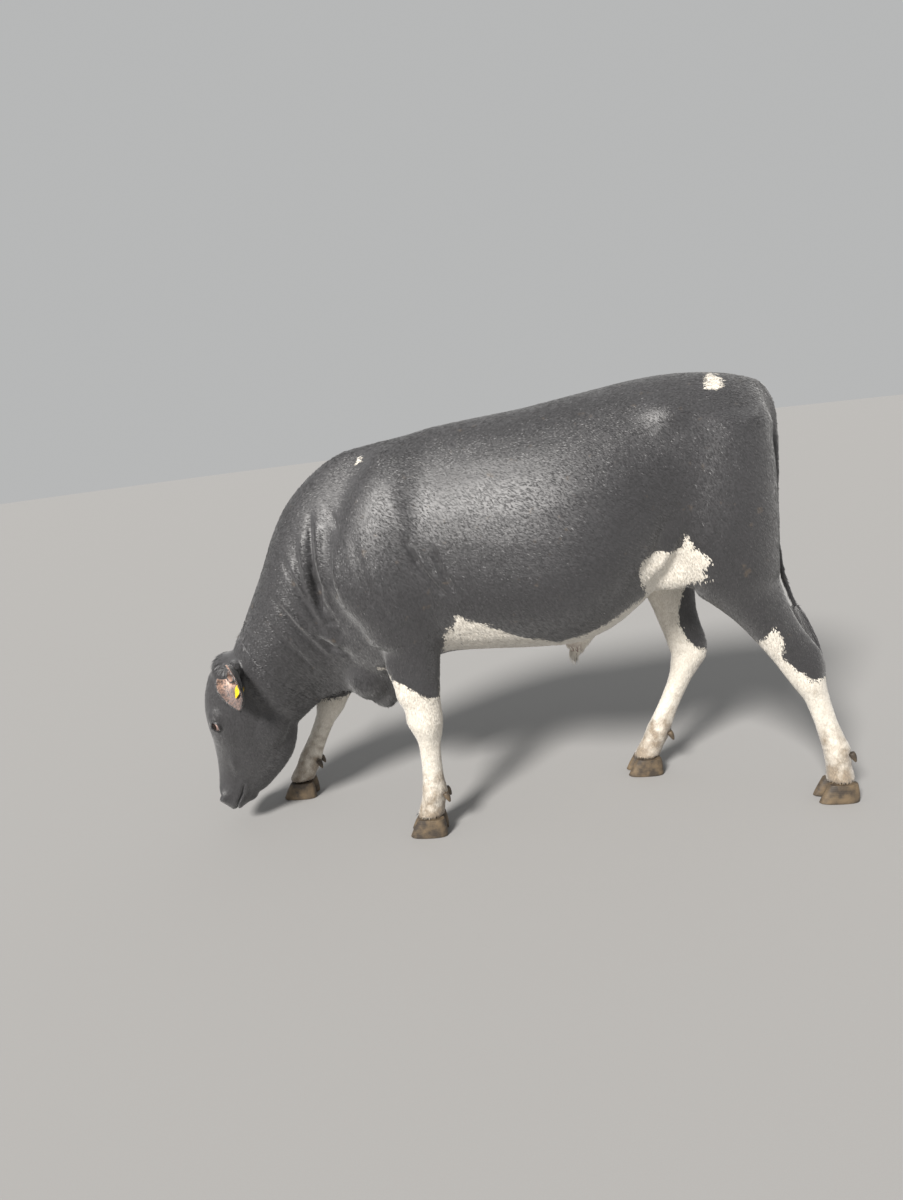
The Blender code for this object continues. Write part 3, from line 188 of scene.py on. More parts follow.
# White markings in the side view: outline, lowest and highest y that they reach
WHITE_PATCHES = [
    # the ragged patch on the left flank
    (
        [(0.352, 0.875), (0.362, 0.902), (0.410, 0.925), (0.460, 0.915), (0.492, 0.925), (0.507, 0.975),
         (0.525, 0.925), (0.568, 0.893), (0.574, 0.872), (0.548, 0.848), (0.570, 0.822), (0.515, 0.800),
         (0.505, 0.700), (0.400, 0.700), (0.385, 0.780), (0.362, 0.830)],
        -0.40, -0.08,
    ),
    ([(0.407, 0.780), (0.357, 0.756), (0.306, 0.720), (0.238, 0.680), (0.238, 0.650), (0.306, 0.700),
      (0.357, 0.736), (0.407, 0.760)], -0.30, 0.05),
    # belly, from behind the elbows to the groin, with the sheath
    (
        [(-0.235, 0.50), (-0.225, 0.79), (-0.13, 0.75), (-0.04, 0.70), (0.09, 0.655), (0.22, 0.690), (0.33, 0.755),
         (0.42, 0.76), (0.46, 0.70), (0.30, 0.45), (0.0, 0.45)],
        -0.40, 0.03,
    ),
    (
        [(-0.235, 0.50), (-0.245, 0.60), (-0.215, 0.655), (-0.160, 0.690), (-0.105, 0.672), (-0.050, 0.690),
         (0.020, 0.655), (0.110, 0.664), (0.170, 0.705), (0.235, 0.730), (0.280, 0.708), (0.340, 0.745),
         (0.42, 0.76), (0.46, 0.70), (0.30, 0.45), (0.0, 0.45)],
        0.02, 0.40,
    ),
    # left foreleg, up its rear edge to the elbow
    (
        [(-0.520, 0.598), (-0.468, 0.600), (-0.462, 0.580), (-0.432, 0.569), (-0.386, 0.540), (-0.356, 0.513),
         (-0.315, 0.499), (-0.304, 0.533), (-0.285, 0.634), (-0.262, 0.740), (-0.22, 0.76), (-0.20, -0.1),
         (-0.60, -0.1), (-0.56, 0.54)],
        -0.34, -0.112,
    ),
    # right foreleg from the knee down
    ([(-0.90, 0.43), (-0.822, 0.407), (-0.775, 0.415), (-0.716, 0.408), (-0.62, 0.44), (-0.60, -0.1),
      (-1.2, -0.1), (-1.1, 0.30)], 0.105, 0.34),
    # right hind leg, all but the back of its gaskin
    (
        [(0.30, 0.70), (0.345, 0.770), (0.385, 0.786), (0.410, 0.832), (0.440, 0.800), (0.480, 0.812),
         (0.515, 0.862), (0.540, 0.815), (0.572, 0.792), (0.557, 0.708), (0.536, 0.637), (0.540, 0.581), (0.566, 0.523),
         (0.596, 0.490), (0.660, 0.462), (0.66, -0.1), (0.15, -0.1)],
        0.02, 0.34,
    ),
    # left hind leg, below a ragged edge across the hock
    (
        [(0.70, 0.560), (0.728, 0.583), (0.754, 0.617), (0.766, 0.636), (0.788, 0.614), (0.805, 0.569),
         (0.792, 0.537), (0.834, 0.489), (0.865, 0.463), (0.896, 0.443), (0.96, 0.447), (1.15, 0.44),
         (1.15, -0.1), (0.75, -0.1), (0.62, 0.45)],
        -0.34, -0.02,
    ),
    # small spots on rump and withers
    ([(0.600, 1.385), (0.612, 1.422), (0.640, 1.432), (0.664, 1.412), (0.648, 1.380)], -0.16, 0.01),
    ([(-0.508, 1.280), (-0.500, 1.300), (-0.490, 1.296), (-0.497, 1.276)], -0.20, 0.0),
]

# The coat at places on the left side: place, lie, hair length and tuft width in millimetres
COAT = [
    ((-1.195, -0.03, 0.300), (-0.02, 0.00, -1.00), 7, 2.2),
    ((-1.200, -0.03, 0.450), (0.02, -0.05, -1.00), 8, 2.4),
    ((-1.185, -0.05, 0.180), (-0.02, -0.15, -1.00), 5, 1.8),
    ((-1.120, -0.07, 0.130), (0.40, -0.05, -0.80), 6, 2.0),
    ((-1.080, -0.04, 0.110), (0.70, 0.00, -0.50), 9, 2.4),
    ((-1.150, -0.08, 0.560), (-0.15, -0.30, -0.95), 12, 3.0),
    ((-1.110, -0.02, 0.640), (-0.60, -0.10, -0.80), 24, 3.6),
    ((-1.050, -0.05, 0.690), (-0.60, -0.25, -0.55), 24, 3.6),
    ((-1.130, -0.10, 0.480), (-0.20, 0.00, -0.95), 6, 2.0),
    ((-1.080, -0.10, 0.400), (0.35, 0.00, -0.90), 8, 2.4),
    ((-1.070, -0.08, 0.260), (0.45, 0.00, -0.85), 8, 2.4),
    ((-0.980, -0.09, 0.420), (0.60, 0.00, -0.65), 11, 3.0),
    ((-0.960, -0.05, 0.260), (0.70, 0.00, -0.50), 13, 3.2),
    ((-0.880, -0.07, 0.480), (0.85, 0.00, -0.20), 15, 3.8),
    ((-0.990, -0.10, 0.620), (0.75, -0.10, 0.20), 13, 3.6),
    ((-0.960, 0.00, 0.840), (0.65, -0.15, 0.45), 16, 3.5),
    ((-0.850, -0.10, 0.850), (0.80, 0.00, -0.15), 13, 3.4),
    ((-0.790, 0.00, 1.170), (0.80, -0.20, 0.35), 18, 3.7),
    ((-0.700, -0.14, 1.000), (0.75, 0.00, -0.45), 13, 3.5),
    ((-0.720, -0.08, 0.640), (0.65, 0.00, -0.60), 15, 3.5),
    ((-0.600, 0.00, 0.480), (0.45, 0.00, -0.85), 19, 3.7),
    ((-0.530, -0.20, 1.050), (0.55, 0.00, -0.80), 13, 3.7),
    ((-0.450, -0.20, 0.850), (0.45, 0.00, -0.90), 12, 3.5),
    ((-0.450, 0.00, 1.350), (0.95, -0.20, 0.10), 16, 3.8),
    ((-0.300, -0.24, 1.050), (0.75, 0.00, -0.65), 13, 3.8),
    ((0.000, 0.00, 1.400), (1.00, -0.15, 0.05), 15, 4.0),
    ((0.000, -0.30, 1.050), (0.80, 0.00, -0.60), 13, 4.0),
    ((0.000, -0.25, 0.700), (0.90, 0.10, -0.45), 15, 4.0),
    ((0.050, 0.00, 0.600), (1.00, 0.00, -0.10), 19, 4.0),
    ((0.300, -0.25, 0.950), (0.75, 0.00, -0.65), 13, 4.0),
    ((0.330, 0.00, 1.430), (1.00, -0.15, 0.00), 14, 4.0),
    ((0.480, -0.20, 0.950), (0.40, 0.00, -0.90), 13, 3.8),
    ((0.480, -0.22, 1.200), (0.60, 0.00, -0.80), 12, 3.8),
    ((0.680, 0.00, 1.430), (0.90, -0.20, -0.30), 13, 3.8),
    ((0.700, -0.20, 1.050), (0.30, 0.00, -0.95), 12, 3.8),
    ((0.800, -0.06, 1.100), (0.10, 0.05, -1.00), 12, 3.5),
    ((0.640, -0.05, 0.800), (0.00, 0.00, -1.00), 12, 3.2),
    ((0.700, -0.20, 0.700), (0.25, 0.00, -0.95), 12, 3.8),
    ((0.880, -0.15, 0.450), (0.15, 0.00, -1.00), 9, 3.0),
    ((0.940, -0.15, 0.280), (0.10, 0.00, -1.00), 8, 2.8),
    ((0.980, -0.15, 0.120), (0.15, 0.00, -1.00), 11, 2.8),
    ((0.985, -0.15, 0.070), (-0.10, 0.00, -1.00), 15, 2.6),
    ((0.480, -0.15, 0.300), (-0.10, 0.00, -1.00), 8, 2.8),
    ((-0.370, -0.18, 0.550), (0.10, 0.00, -1.00), 10, 3.2),
    ((-0.370, -0.18, 0.300), (0.00, 0.00, -1.00), 8, 2.8),
    ((-0.380, -0.18, 0.120), (0.05, 0.00, -1.00), 11, 2.8),
    ((-0.390, -0.18, 0.070), (-0.10, 0.00, -1.00), 15, 2.6),
    ((-0.700, -0.18, 0.500), (-0.20, 0.00, -0.95), 10, 3.2),
    ((-0.850, -0.18, 0.250), (-0.30, 0.00, -0.95), 8, 2.8),
    ((0.845, 0.00, 1.000), (0.00, 0.00, -1.00), 12, 3.2),
    ((0.880, -0.01, 0.700), (0.35, 0.00, -0.95), 16, 3.2),
    ((0.150, 0.00, 0.560), (0.10, 0.00, -1.00), 22, 3.4),
]

# Ears: root, the way the cup opens, lie of the hair with its length and tuft width, and the canal's place along
# the ear and out of the cup
EAR_ROOT = (-1.045, 0.110, 0.634)
EAR_OPENING = {LEFT: (-0.62, -0.62, 0.30), RIGHT: (-0.92, -0.08, -0.25)}
EAR_COAT = {
    LEFT: ((0.22, -0.76, -0.55), 9, 1.8),
    RIGHT: ((-0.20, 0.95, 0.12), 9, 1.8),
}
EAR_CANAL = (0.034, 0.002)
EAR_CANAL_RADIUS = 0.0135
EAR_CANAL_DEPTH = 0.020

# Tufts: how often they cover the skin, how deep root and flank are sunk, how far along they are widest, and the
# half width of a tuft's patch on the OFBake map
TUFT_COVER = 1.18
ROOT_SUNK = 0.0004
FLANK_SUNK = 0.0003
WIDEST = 0.38
TIP_STANDS = 0.0006
PATCH = 0.0014
HOOF_EDGE = 0.066

# How tufts stray: slow swirls and single ones in radians, their lift as a share of length and at most, and the
# scatter and waver of the markings' edge
SWIRL, STRAY = 0.22, 0.13
LIFT_SHARE, MOST_LIFT, RIM_LIFT = 0.09, 0.0026, 0.004
EDGE_SCATTER, EDGE_WAVER = 0.004, 0.012

# Body parts along x, and the height of legs and face
NECK_END, SHOULDER_END, BARREL_END = -0.52, -0.15, 0.33
LEG_TOP = 0.60
FACE_TOP = 0.46

# Middle lines for the OFBake map: heights and x of the slanting legs, the upright leg's x, the legs' distance from
# the middle plane, then head and body with the start and length of the map along them
HIND_LEFT_LINE = ([0.07, 0.46, 0.8], [0.99, 0.88, 0.66])
HIND_RIGHT_LINE = ([0.07, 0.46, 0.8], [0.41, 0.57, 0.48])
FORE_RIGHT_LINE = ([0.07, 0.4, 0.75], [-0.94, -0.77, -0.55])
FORE_LEFT_X = -0.378
HIND_START, HIND_Y, FORE_Y = 0.2, 0.150, 0.180
LEG_LENGTH = 0.8
HEAD_MIDDLE_X, HEAD_LOW, HEAD_LENGTH = -1.03, 0.05, 0.72
BODY_MIDDLE_Z, BODY_FRONT, BODY_LENGTH = 0.95, -1.1, 2.05

# Locks of the tail's switch, of the sheath and of one upper lid, and the points along each
SWITCH_LOCKS, SWITCH_POINTS, SWITCH_WISPS = 900, 8, 9
SHEATH_LOCKS, SHEATH_POINTS = 70, 5
LASHES, LASH_POINTS = 34, 4
SWITCH_WIDTHS = (0.0030, 0.0058)
SHEATH_WIDTHS = (0.0025, 0.004)
SHEATH_LENGTHS = (0.035, 0.065)
LASH_WIDTH, LASH_SPAN = 0.0007, 0.017
LASH_LENGTHS = (0.010, 0.016)

# Claws: rounding of their edges, rounds of refining, how much dewclaws narrow at both ends, and growth rings
CLAW_EDGE = 0.0035
CLAW_LEVELS = 2
DEWCLAW_NARROWING = 0.72
RING_SPACING = 0.00683
SHARP_ANGLE = math.radians(40)

# The ear tag: how square its corners are, plate, bow, edge and pin; boss, stud and foot are cones with two radii
# and a height
TAG_SQUARENESS = 0.42
TAG_CORNERS = 56
TAG_PLATE = 0.0018
TAG_BOW = 4.0
TAG_EDGE = 0.0005
TAG_PIN_Y = -0.010
TAG_PIN_RADIUS = 0.0030
TAG_BOSS = (0.0085, 0.0072, 0.0014)
TAG_STUD = (0.0095, 0.0110, 0.0022)
TAG_STUD_FOOT = (0.0045, 0.0070, 0.0012)

# Studio: key light's strength, angle, tint and direction, and the soft light from all round
SUN_STRENGTH = 6.0
SUN_ANGLE = math.radians(14)
SUN_TINT = (1.0, 0.97, 0.93)
SUN_DIRECTION = (0.40, 0.80, -0.70)
AROUND_STRENGTH = 0.68
FLOOR_RADIUS = 40

SEED = 7


def linear(hex_colour):
    """Turn an sRGB hex colour into linear RGBA."""
    channels = [int(hex_colour[i : i + 2], 16) / 255 for i in (1, 3, 5)]
    return (*(c / 12.92 if c <= 0.04045 else ((c + 0.055) / 1.055) ** 2.4 for c in channels), 1.0)


# Materials


def new_material(name):
    material = bpy.data.materials.new(name)
    material.use_nodes = True
    return material, material.node_tree, material.node_tree.nodes["Principled BSDF"]


def add(tree, kind, inputs=None, output=0, **settings):
    """Add a shader node, set its properties, fill or link its inputs, and give one of its outputs."""
    made = tree.nodes.new(kind)
    for name, value in settings.items():
        setattr(made, name, value)
    for name, value in (inputs or {}).items():
        if isinstance(value, bpy.types.NodeSocket):
            tree.links.new(value, made.inputs[name])
        else:
            made.inputs[name].default_value = value
    return made.outputs[output]


# In a Mix node of colours, input 0 is the share, 6 and 7 are the colours, and output 2 is their blend. In one of
# numbers, 2 and 3 are the numbers. In a Map Range node, input 0 is the value, 1 and 2 its range, 3 and 4 the new one.


def pattern(tree, size, detail=3.0, stretch=(1, 1, 1), turn=(0, 0, 0)):
    """Noise fixed to the object's own place, with spots of the given size in millimetres."""
    place = add(tree, "ShaderNodeTexCoord", output="Object")
    turned = add(tree, "ShaderNodeMapping", {"Vector": place, "Rotation": turn, "Scale": stretch})
    return add(tree, "ShaderNodeTexNoise", {"Vector": turned, "Scale": 1000 / size, "Detail": detail})


def coat_colour(tree, ragged):
    """Black and white hair with dust and mud, by the markings that skin and tufts carry."""
    tone = add(tree, "ShaderNodeAttribute", output="Fac", attribute_name="tone")
    edge = add(tree, "ShaderNodeAttribute", output="Fac", attribute_name="white")
    mud = add(tree, "ShaderNodeAttribute", output="Fac", attribute_name="mud")
    # dust greys the black hair a little, in clouds 300 mm across
    clouds = add(tree, "ShaderNodeMapRange", {0: pattern(tree, 312.5, 6.0), 1: 0.35, 2: 0.80})
    dust = add(tree, "ShaderNodeMath", {0: clouds, 1: 0.18, 2: 0.02}, operation="MULTIPLY_ADD")
    black = add(tree, "ShaderNodeMix", {0: tone, 6: linear("#0E0E11"), 7: linear("#232124")}, 2, data_type="RGBA")
    black = add(tree, "ShaderNodeMix", {0: dust, 6: black, 7: linear("#545356")}, 2, data_type="RGBA")
    white = add(tree, "ShaderNodeMix", {0: tone, 6: linear("#C9C1B3"), 7: linear("#E6E0D5")}, 2, data_type="RGBA")
    if ragged:
        # the edge of the hide's markings wavers by 8 mm each way, as the tufts over it do
        waver = add(tree, "ShaderNodeMath", {0: pattern(tree, 11.11), 1: -0.5})
        edge = add(tree, "ShaderNodeMath", {0: waver, 1: 0.016, 2: edge}, operation="MULTIPLY_ADD")
    whiteness = add(tree, "ShaderNodeMapRange", {0: edge, 1: -0.0012, 2: 0.0012})
    hair = add(tree, "ShaderNodeMix", {0: whiteness, 6: black, 7: white}, 2, data_type="RGBA")
    # mud sits in splashes of 40 mm, denser towards the claws
    splashes = add(tree, "ShaderNodeMath", {0: pattern(tree, 38.46, 6.0), 1: -0.5})
    mud = add(tree, "ShaderNodeMath", {0: splashes, 1: 1.9, 2: mud}, operation="MULTIPLY_ADD")
    mud = add(tree, "ShaderNodeMapRange", {0: mud, 1: 0.30, 2: 0.95, 4: 0.80})
    soil = add(tree, "ShaderNodeMix", {0: tone, 6: linear("#5B4A37"), 7: linear("#8C7659")}, 2, data_type="RGBA")
    return add(tree, "ShaderNodeMix", {0: mud, 6: hair, 7: soil}, 2, data_type="RGBA")


def give_hair_gloss(shader):
    """The silvery gloss of short hair, the same on hide and tufts."""
    shader.inputs["Specular IOR Level"].default_value = 0.85
    shader.inputs["Sheen Weight"].default_value = 0.40
    shader.inputs["Sheen Roughness"].default_value = 0.50


def coat_skin_material():
    """Hide under short hair: the hair's own gloss, with the fine furrows it lies in as bump."""
    material, tree, shader = new_material("short_cattle_coat")
    pink = add(tree, "ShaderNodeAttribute", output="Fac", attribute_name="pink")
    leather_and_canal_shade = add(tree, "ShaderNodeAttribute", output="Fac", attribute_name="leather_and_canal_shade")
    upright = add(tree, "ShaderNodeAttribute", output="Fac", attribute_name="upright")
    flush = add(tree, "ShaderNodeMapRange", {0: pink, 1: 0.5, 2: 1.0})
    bare = add(tree, "ShaderNodeMix", {0: flush, 6: linear("#7A6259"), 7: linear("#B5917E")}, 2, data_type="RGBA")
    bareness = add(tree, "ShaderNodeMapRange", {0: pink, 1: 0.0, 2: 0.5})
    colour = add(tree, "ShaderNodeMix", {0: bareness, 6: coat_colour(tree, True), 7: bare}, 2, data_type="RGBA")
    # this dark colour is the muzzle's bare leather, and in the ear canals it is painted shade
    colour = add(tree, "ShaderNodeMix", {0: leather_and_canal_shade, 6: colour, 7: linear("#17151A")}, 2, data_type="RGBA")
    tree.links.new(colour, shader.inputs["Base Color"])
    roughness = add(tree, "ShaderNodeMapRange", {0: leather_and_canal_shade, 3: 0.50, 4: 0.27})
    tree.links.new(roughness, shader.inputs["Roughness"])
    give_hair_gloss(shader)
    # single hairs of 0.1 mm are too fine to show, so furrows of 4 mm along the lie are drawn in their place
    body_hair = pattern(tree, 4.17, 3.0, (0.18, 1, 1), (0, math.radians(-32), 0))
    upright_hair = pattern(tree, 3.85, 3.0, (1, 1, 0.18))
    hair = add(tree, "ShaderNodeMix", {0: upright, 2: body_hair, 3: upright_hair})
    # the muzzle's bare leather has pebbles of 4 mm
    place = add(tree, "ShaderNodeTexCoord", output="Object")
    pebbles = add(tree, "ShaderNodeTexVoronoi", {"Scale": 1000 / 3.85, "Vector": place}, "Distance")
    grain = add(tree, "ShaderNodeMix", {0: leather_and_canal_shade, 2: hair, 3: pebbles})
    bump = add(tree, "ShaderNodeBump", {"Height": grain, "Strength": 0.50, "Distance": 0.0012})
    tree.links.new(bump, shader.inputs["Normal"])
    return material


def tuft_material():
    """Cattle hair in small locks: glossy along its length, each lock a shade lighter or darker."""
    material, tree, shader = new_material("cattle_hair_locks")
    tree.links.new(coat_colour(tree, False), shader.inputs["Base Color"])
    shader.inputs["Roughness"].default_value = 0.50
    give_hair_gloss(shader)
    return material


def eye_material():
    """A wet, nearly black brown eye with a slot pupil and a rim of dull, flushed white."""
    material, tree, shader = new_material("wet_eye")
    place = add(tree, "ShaderNodeAttribute", output="Vector", attribute_name="eye_place")
    gaze = add(tree, "ShaderNodeVectorMath", {0: place, 1: (0, GAZE_SHIFT, 0)}, operation="SUBTRACT")
    flat = add(tree, "ShaderNodeVectorMath", {0: gaze, 1: (1, 1, 0)}, operation="MULTIPLY")
    reach = add(tree, "ShaderNodeVectorMath", {0: flat}, "Value", operation="LENGTH")
    slot = add(tree, "ShaderNodeVectorMath", {0: gaze, 1: (1, 2.1, 0)}, operation="MULTIPLY")
    slot = add(tree, "ShaderNodeVectorMath", {0: slot}, "Value", operation="LENGTH")
    flecks = add(tree, "ShaderNodeMapRange", {0: pattern(tree, 1.11), 1: 0.4, 2: 0.6})
    iris = add(tree, "ShaderNodeMix", {0: flecks, 6: linear("#120A07"), 7: linear("#20130C")}, 2, data_type="RGBA")
    veins = add(tree, "ShaderNodeMapRange", {0: pattern(tree, 2.38, 4.0), 1: 0.45, 2: 0.6})
    white = add(tree, "ShaderNodeMix", {0: veins, 6: linear("#8F736C"), 7: linear("#B59D94")}, 2, data_type="RGBA")
    beyond_slot = add(tree, "ShaderNodeMapRange", {0: slot, 1: 0.0072, 2: 0.0078})
    beyond_iris = add(tree, "ShaderNodeMapRange", {0: reach, 1: 0.0144, 2: 0.0152})
    colour = add(tree, "ShaderNodeMix", {0: beyond_slot, 6: linear("#05060A"), 7: iris}, 2, data_type="RGBA")
    colour = add(tree, "ShaderNodeMix", {0: beyond_iris, 6: colour, 7: white}, 2, data_type="RGBA")
    tree.links.new(colour, shader.inputs["Base Color"])
    shader.inputs["Roughness"].default_value = 0.05
    shader.inputs["Specular IOR Level"].default_value = 0.45
    return material


def horn_material():
    """Claw horn: dark grey brown, ringed by growth every few millimetres, dull with dried mud."""
    material, tree, shader = new_material("claw_horn")
    place = add(tree, "ShaderNodeTexCoord", output="Object")
    # a Wave node has 20 turns of the sine to the metre at a scale of 1
    rings = add(
        tree,
        "ShaderNodeTexWave",
        {
            "Vector": place,
            "Scale": 2 * math.pi / 20 / RING_SPACING,
            "Distortion": 3.5,
            "Detail": 3.0,
            "Detail Scale": 1.2,
        },
        "Fac",
        bands_direction="Z",
    )
    mud = add(tree, "ShaderNodeMapRange", {0: pattern(tree, 29.41, 6.0), 1: 0.40, 2: 0.70})
    colour = add(tree, "ShaderNodeMix", {0: rings, 6: linear("#3A332C"), 7: linear("#423A32")}, 2, data_type="RGBA")
    colour = add(tree, "ShaderNodeMix", {0: mud, 6: colour, 7: linear("#6E5E49")}, 2, data_type="RGBA")
    tree.links.new(colour, shader.inputs["Base Color"])
    shader.inputs["Roughness"].default_value = 0.55
    height = add(tree, "ShaderNodeMath", {0: rings, 1: 0.35, 2: mud}, operation="MULTIPLY_ADD")
    bump = add(tree, "ShaderNodeBump", {"Height": height, "Strength": 0.4, "Distance": 0.0008})
    tree.links.new(bump, shader.inputs["Normal"])
    return material


def tag_material():
    """Moulded polyurethane: strong yellow, faintly scuffed, letting a little light through."""
    material, tree, shader = new_material("moulded_yellow_polyurethane")
    scuffs = pattern(tree, 3.125, 5.0)
    worn = add(tree, "ShaderNodeMapRange", {0: scuffs, 1: 0.35, 2: 0.75})
    colour = add(tree, "ShaderNodeMix", {0: worn, 6: linear("#E9C91B"), 7: linear("#D9B413")}, 2, data_type="RGBA")
    tree.links.new(colour, shader.inputs["Base Color"])
    shader.inputs["Roughness"].default_value = 0.42
    shader.inputs["Subsurface Weight"].default_value = 0.15
    shader.inputs["Subsurface Scale"].default_value = 0.003
    bump = add(tree, "ShaderNodeBump", {"Height": scuffs, "Strength": 0.15, "Distance": 0.0003})
    tree.links.new(bump, shader.inputs["Normal"])
    return material


def floor_material():
    """Matt, pale studio paper, with a grain of 2.5 mm."""
    material, tree, shader = new_material("pale_studio_paper")
    grain = pattern(tree, 2.5)
    colour = add(tree, "ShaderNodeMix", {0: grain, 6: linear("#929190"), 7: linear("#989796")}, 2, data_type="RGBA")
    tree.links.new(colour, shader.inputs["Base Color"])
    shader.inputs["Roughness"].default_value = 0.9
    return material


# Meshes and their numbers


def object_of(name, mesh):
    thing = bpy.data.objects.new(name, mesh)
    bpy.context.scene.collection.objects.link(thing)
    return thing


def node_mesh(name):
    """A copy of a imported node's mesh, moved to the side view's origin."""
    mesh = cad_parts[name].data.copy()
    mesh.transform(Matrix.Translation(-ORIGIN))
    return mesh


def joined(name, meshes):
    bm = bmesh.new()
    for mesh in meshes:
        bm.from_mesh(mesh)
    mesh = bpy.data.meshes.new(name)
    bm.to_mesh(mesh)
    bm.free()
    return object_of(name, mesh)


def applied(thing):
    """Replace the object's mesh by what its modifiers make of it."""
    bpy.context.view_layer.update()
    graph = bpy.context.evaluated_depsgraph_get()
    mesh = bpy.data.meshes.new_from_object(thing.evaluated_get(graph))
    thing.modifiers.clear()
    thing.data = mesh
    return thing


def vertex_arrays(mesh):
    places = np.empty(len(mesh.vertices) * 3)
    normals = np.empty(len(mesh.vertices) * 3)
    mesh.vertices.foreach_get("co", places)
    mesh.vertices.foreach_get("normal", normals)
    return places.reshape(-1, 3), normals.reshape(-1, 3)


def move_vertices(mesh, places):
    mesh.vertices.foreach_set("co", np.ascontiguousarray(places, dtype=float).ravel())
    mesh.update()


def store(mesh, name, values):
    layer = mesh.attributes.new(name, "FLOAT", "POINT")
    layer.data.foreach_set("value", np.ascontiguousarray(values, dtype=np.float32))


def unit(vectors):
    return vectors / np.maximum(np.linalg.norm(vectors, axis=-1, keepdims=True), 1e-12)


def on_side(side, place):
    """A place or direction of the right side, mirrored to the left where side is LEFT."""
    return np.array([place[0], side * place[1], place[2]])


def eased(values, start, end):
    """0 below start, 1 above end, and a smooth rise between."""
    share = np.clip((values - start) / (end - start), 0, 1)
    return share * share * (3 - 2 * share)


def distance_to_line(places, line):
    """Distance of each place to a polyline, in as many dimensions as the line has."""
    best = np.full(len(places), np.inf)
    for start, end in zip(line, line[1:]):
        start, end = np.asarray(start, float), np.asarray(end, float)
        run = end - start
        share = np.clip(((places - start) @ run) / (run @ run), 0, 1)
        best = np.minimum(best, np.linalg.norm(places - start - share[:, None] * run, axis=1))
    return best


def depth_inside(places, outline):
    """Distance to a closed outline in the side view, above zero inside it."""
    inside = np.zeros(len(places), bool)
    for (x0, z0), (x1, z1) in zip(outline, outline[1:] + outline[:1]):
        if z0 == z1:
            continue
        crosses = (places[:, 1] > min(z0, z1)) & (places[:, 1] <= max(z0, z1))
        inside ^= crosses & (places[:, 0] < x0 + (places[:, 1] - z0) * (x1 - x0) / (z1 - z0))
    away = distance_to_line(places, outline + outline[:1])
    return np.where(inside, away, -away)


# Skin


def fused(name, node_names, voxel):
    """One closed skin round the given nodes."""
    thing = joined(name, [node_mesh(node) for node in node_names])
    remesh = thing.modifiers.new("fuse", "REMESH")
    remesh.mode = "VOXEL"
    remesh.voxel_size = voxel
    return applied(thing)


def on_right_foreleg(x, y, z):
    """The leg reaches through the graft's plane beside the head and is spared there."""
    return (x > -1.06) & (((y > 0.119) & (z < 0.46)) | ((y > 0.135) & (z < 0.55)))


def cut(mesh, keep_head):
    """Cut the skin at the graft plane and keep one side."""
    bm = bmesh.new()
    bm.from_mesh(mesh)
    verts = [v for v in bm.verts if keep_head or not (v.co.x > GRAFT_BACK or on_right_foreleg(*v.co))]
    chosen = set(verts)
    edges = [edge for edge in bm.edges if chosen.issuperset(edge.verts)]
    faces = [face for face in bm.faces if chosen.issuperset(face.verts)]
    sign = -1 if keep_head else 1
    bmesh.ops.bisect_plane(
        bm,
        geom=verts + edges + faces,
        plane_co=Vector(GRAFT_POINT) - Vector(GRAFT_NORMAL) * GRAFT_OVERLAP * sign,
        plane_no=Vector(GRAFT_NORMAL) * sign,
        clear_outer=True,
    )
    bm.to_mesh(mesh)
    bm.free()


def refine(bm, middle, radius):
    """Split the edges near a landmark once."""
    middle = Vector(middle)
    near = [e for e in bm.edges if (e.verts[0].co - middle).length < radius]
    bmesh.ops.subdivide_edges(bm, edges=near, cuts=1, use_grid_fill=True)
    bmesh.ops.triangulate(bm, faces=[face for face in bm.faces if len(face.verts) > 4])


def grafted(body, head):
    """Join the coarse body and the fine head along their cut edges, and refine eyes, nostrils and mouth."""
    bm = bmesh.new()
    bm.from_mesh(body.data)
    bm.from_mesh(head.data)
    bmesh.ops.delete(bm, geom=[v for v in bm.verts if not v.link_faces], context="VERTS")
    bmesh.ops.bridge_loops(bm, edges=[edge for edge in bm.edges if edge.is_boundary])
    for side in (LEFT, RIGHT):
        for place, radius in FINE_PLACES:
            refine(bm, on_side(side, place), radius)
    bmesh.ops.recalc_face_normals(bm, faces=bm.faces)
    bm.to_mesh(body.data)
    bm.free()
    bpy.data.objects.remove(head, do_unlink=True)
    return body


def smoothed(values, edges, degree, weights, passes):
    """Let every value drift towards the mean of its neighbours."""
    values = values.copy()
    count = len(values)
    for _ in range(passes):
        for axis in range(3):
            column = values[:, axis]
            total = np.bincount(edges[:, 0], column[edges[:, 1]], count)
            total += np.bincount(edges[:, 1], column[edges[:, 0]], count)
            values[:, axis] = column + 0.5 * weights * (total / degree - column)
    return values


def neighbours(mesh):
    """The ends of every edge, and how many edges meet at every vertex."""
    edges = np.empty(len(mesh.edges) * 2, dtype=np.int32)
    mesh.edges.foreach_get("vertices", edges)
    edges = edges.reshape(-1, 2)
    return edges, np.maximum(np.bincount(edges.ravel(), minlength=len(mesh.vertices)), 1)


def smooth_skin(mesh, weights):
    """Take the facets out of the skin, and give back the roundness that smoothing takes from limbs."""
    edges, degree = neighbours(mesh)
    places, _ = vertex_arrays(mesh)
    once = smoothed(places, edges, degree, weights, SMOOTHING_PASSES)
    lost = smoothed(places - once, edges, degree, weights, SMOOTHING_PASSES)
    move_vertices(mesh, once + lost)


def tree_of(node):
    mesh = node_mesh(node)
    places, _ = vertex_arrays(mesh)
    return BVHTree.FromPolygons(places.tolist(), [tuple(p.vertices) for p in mesh.polygons]), places


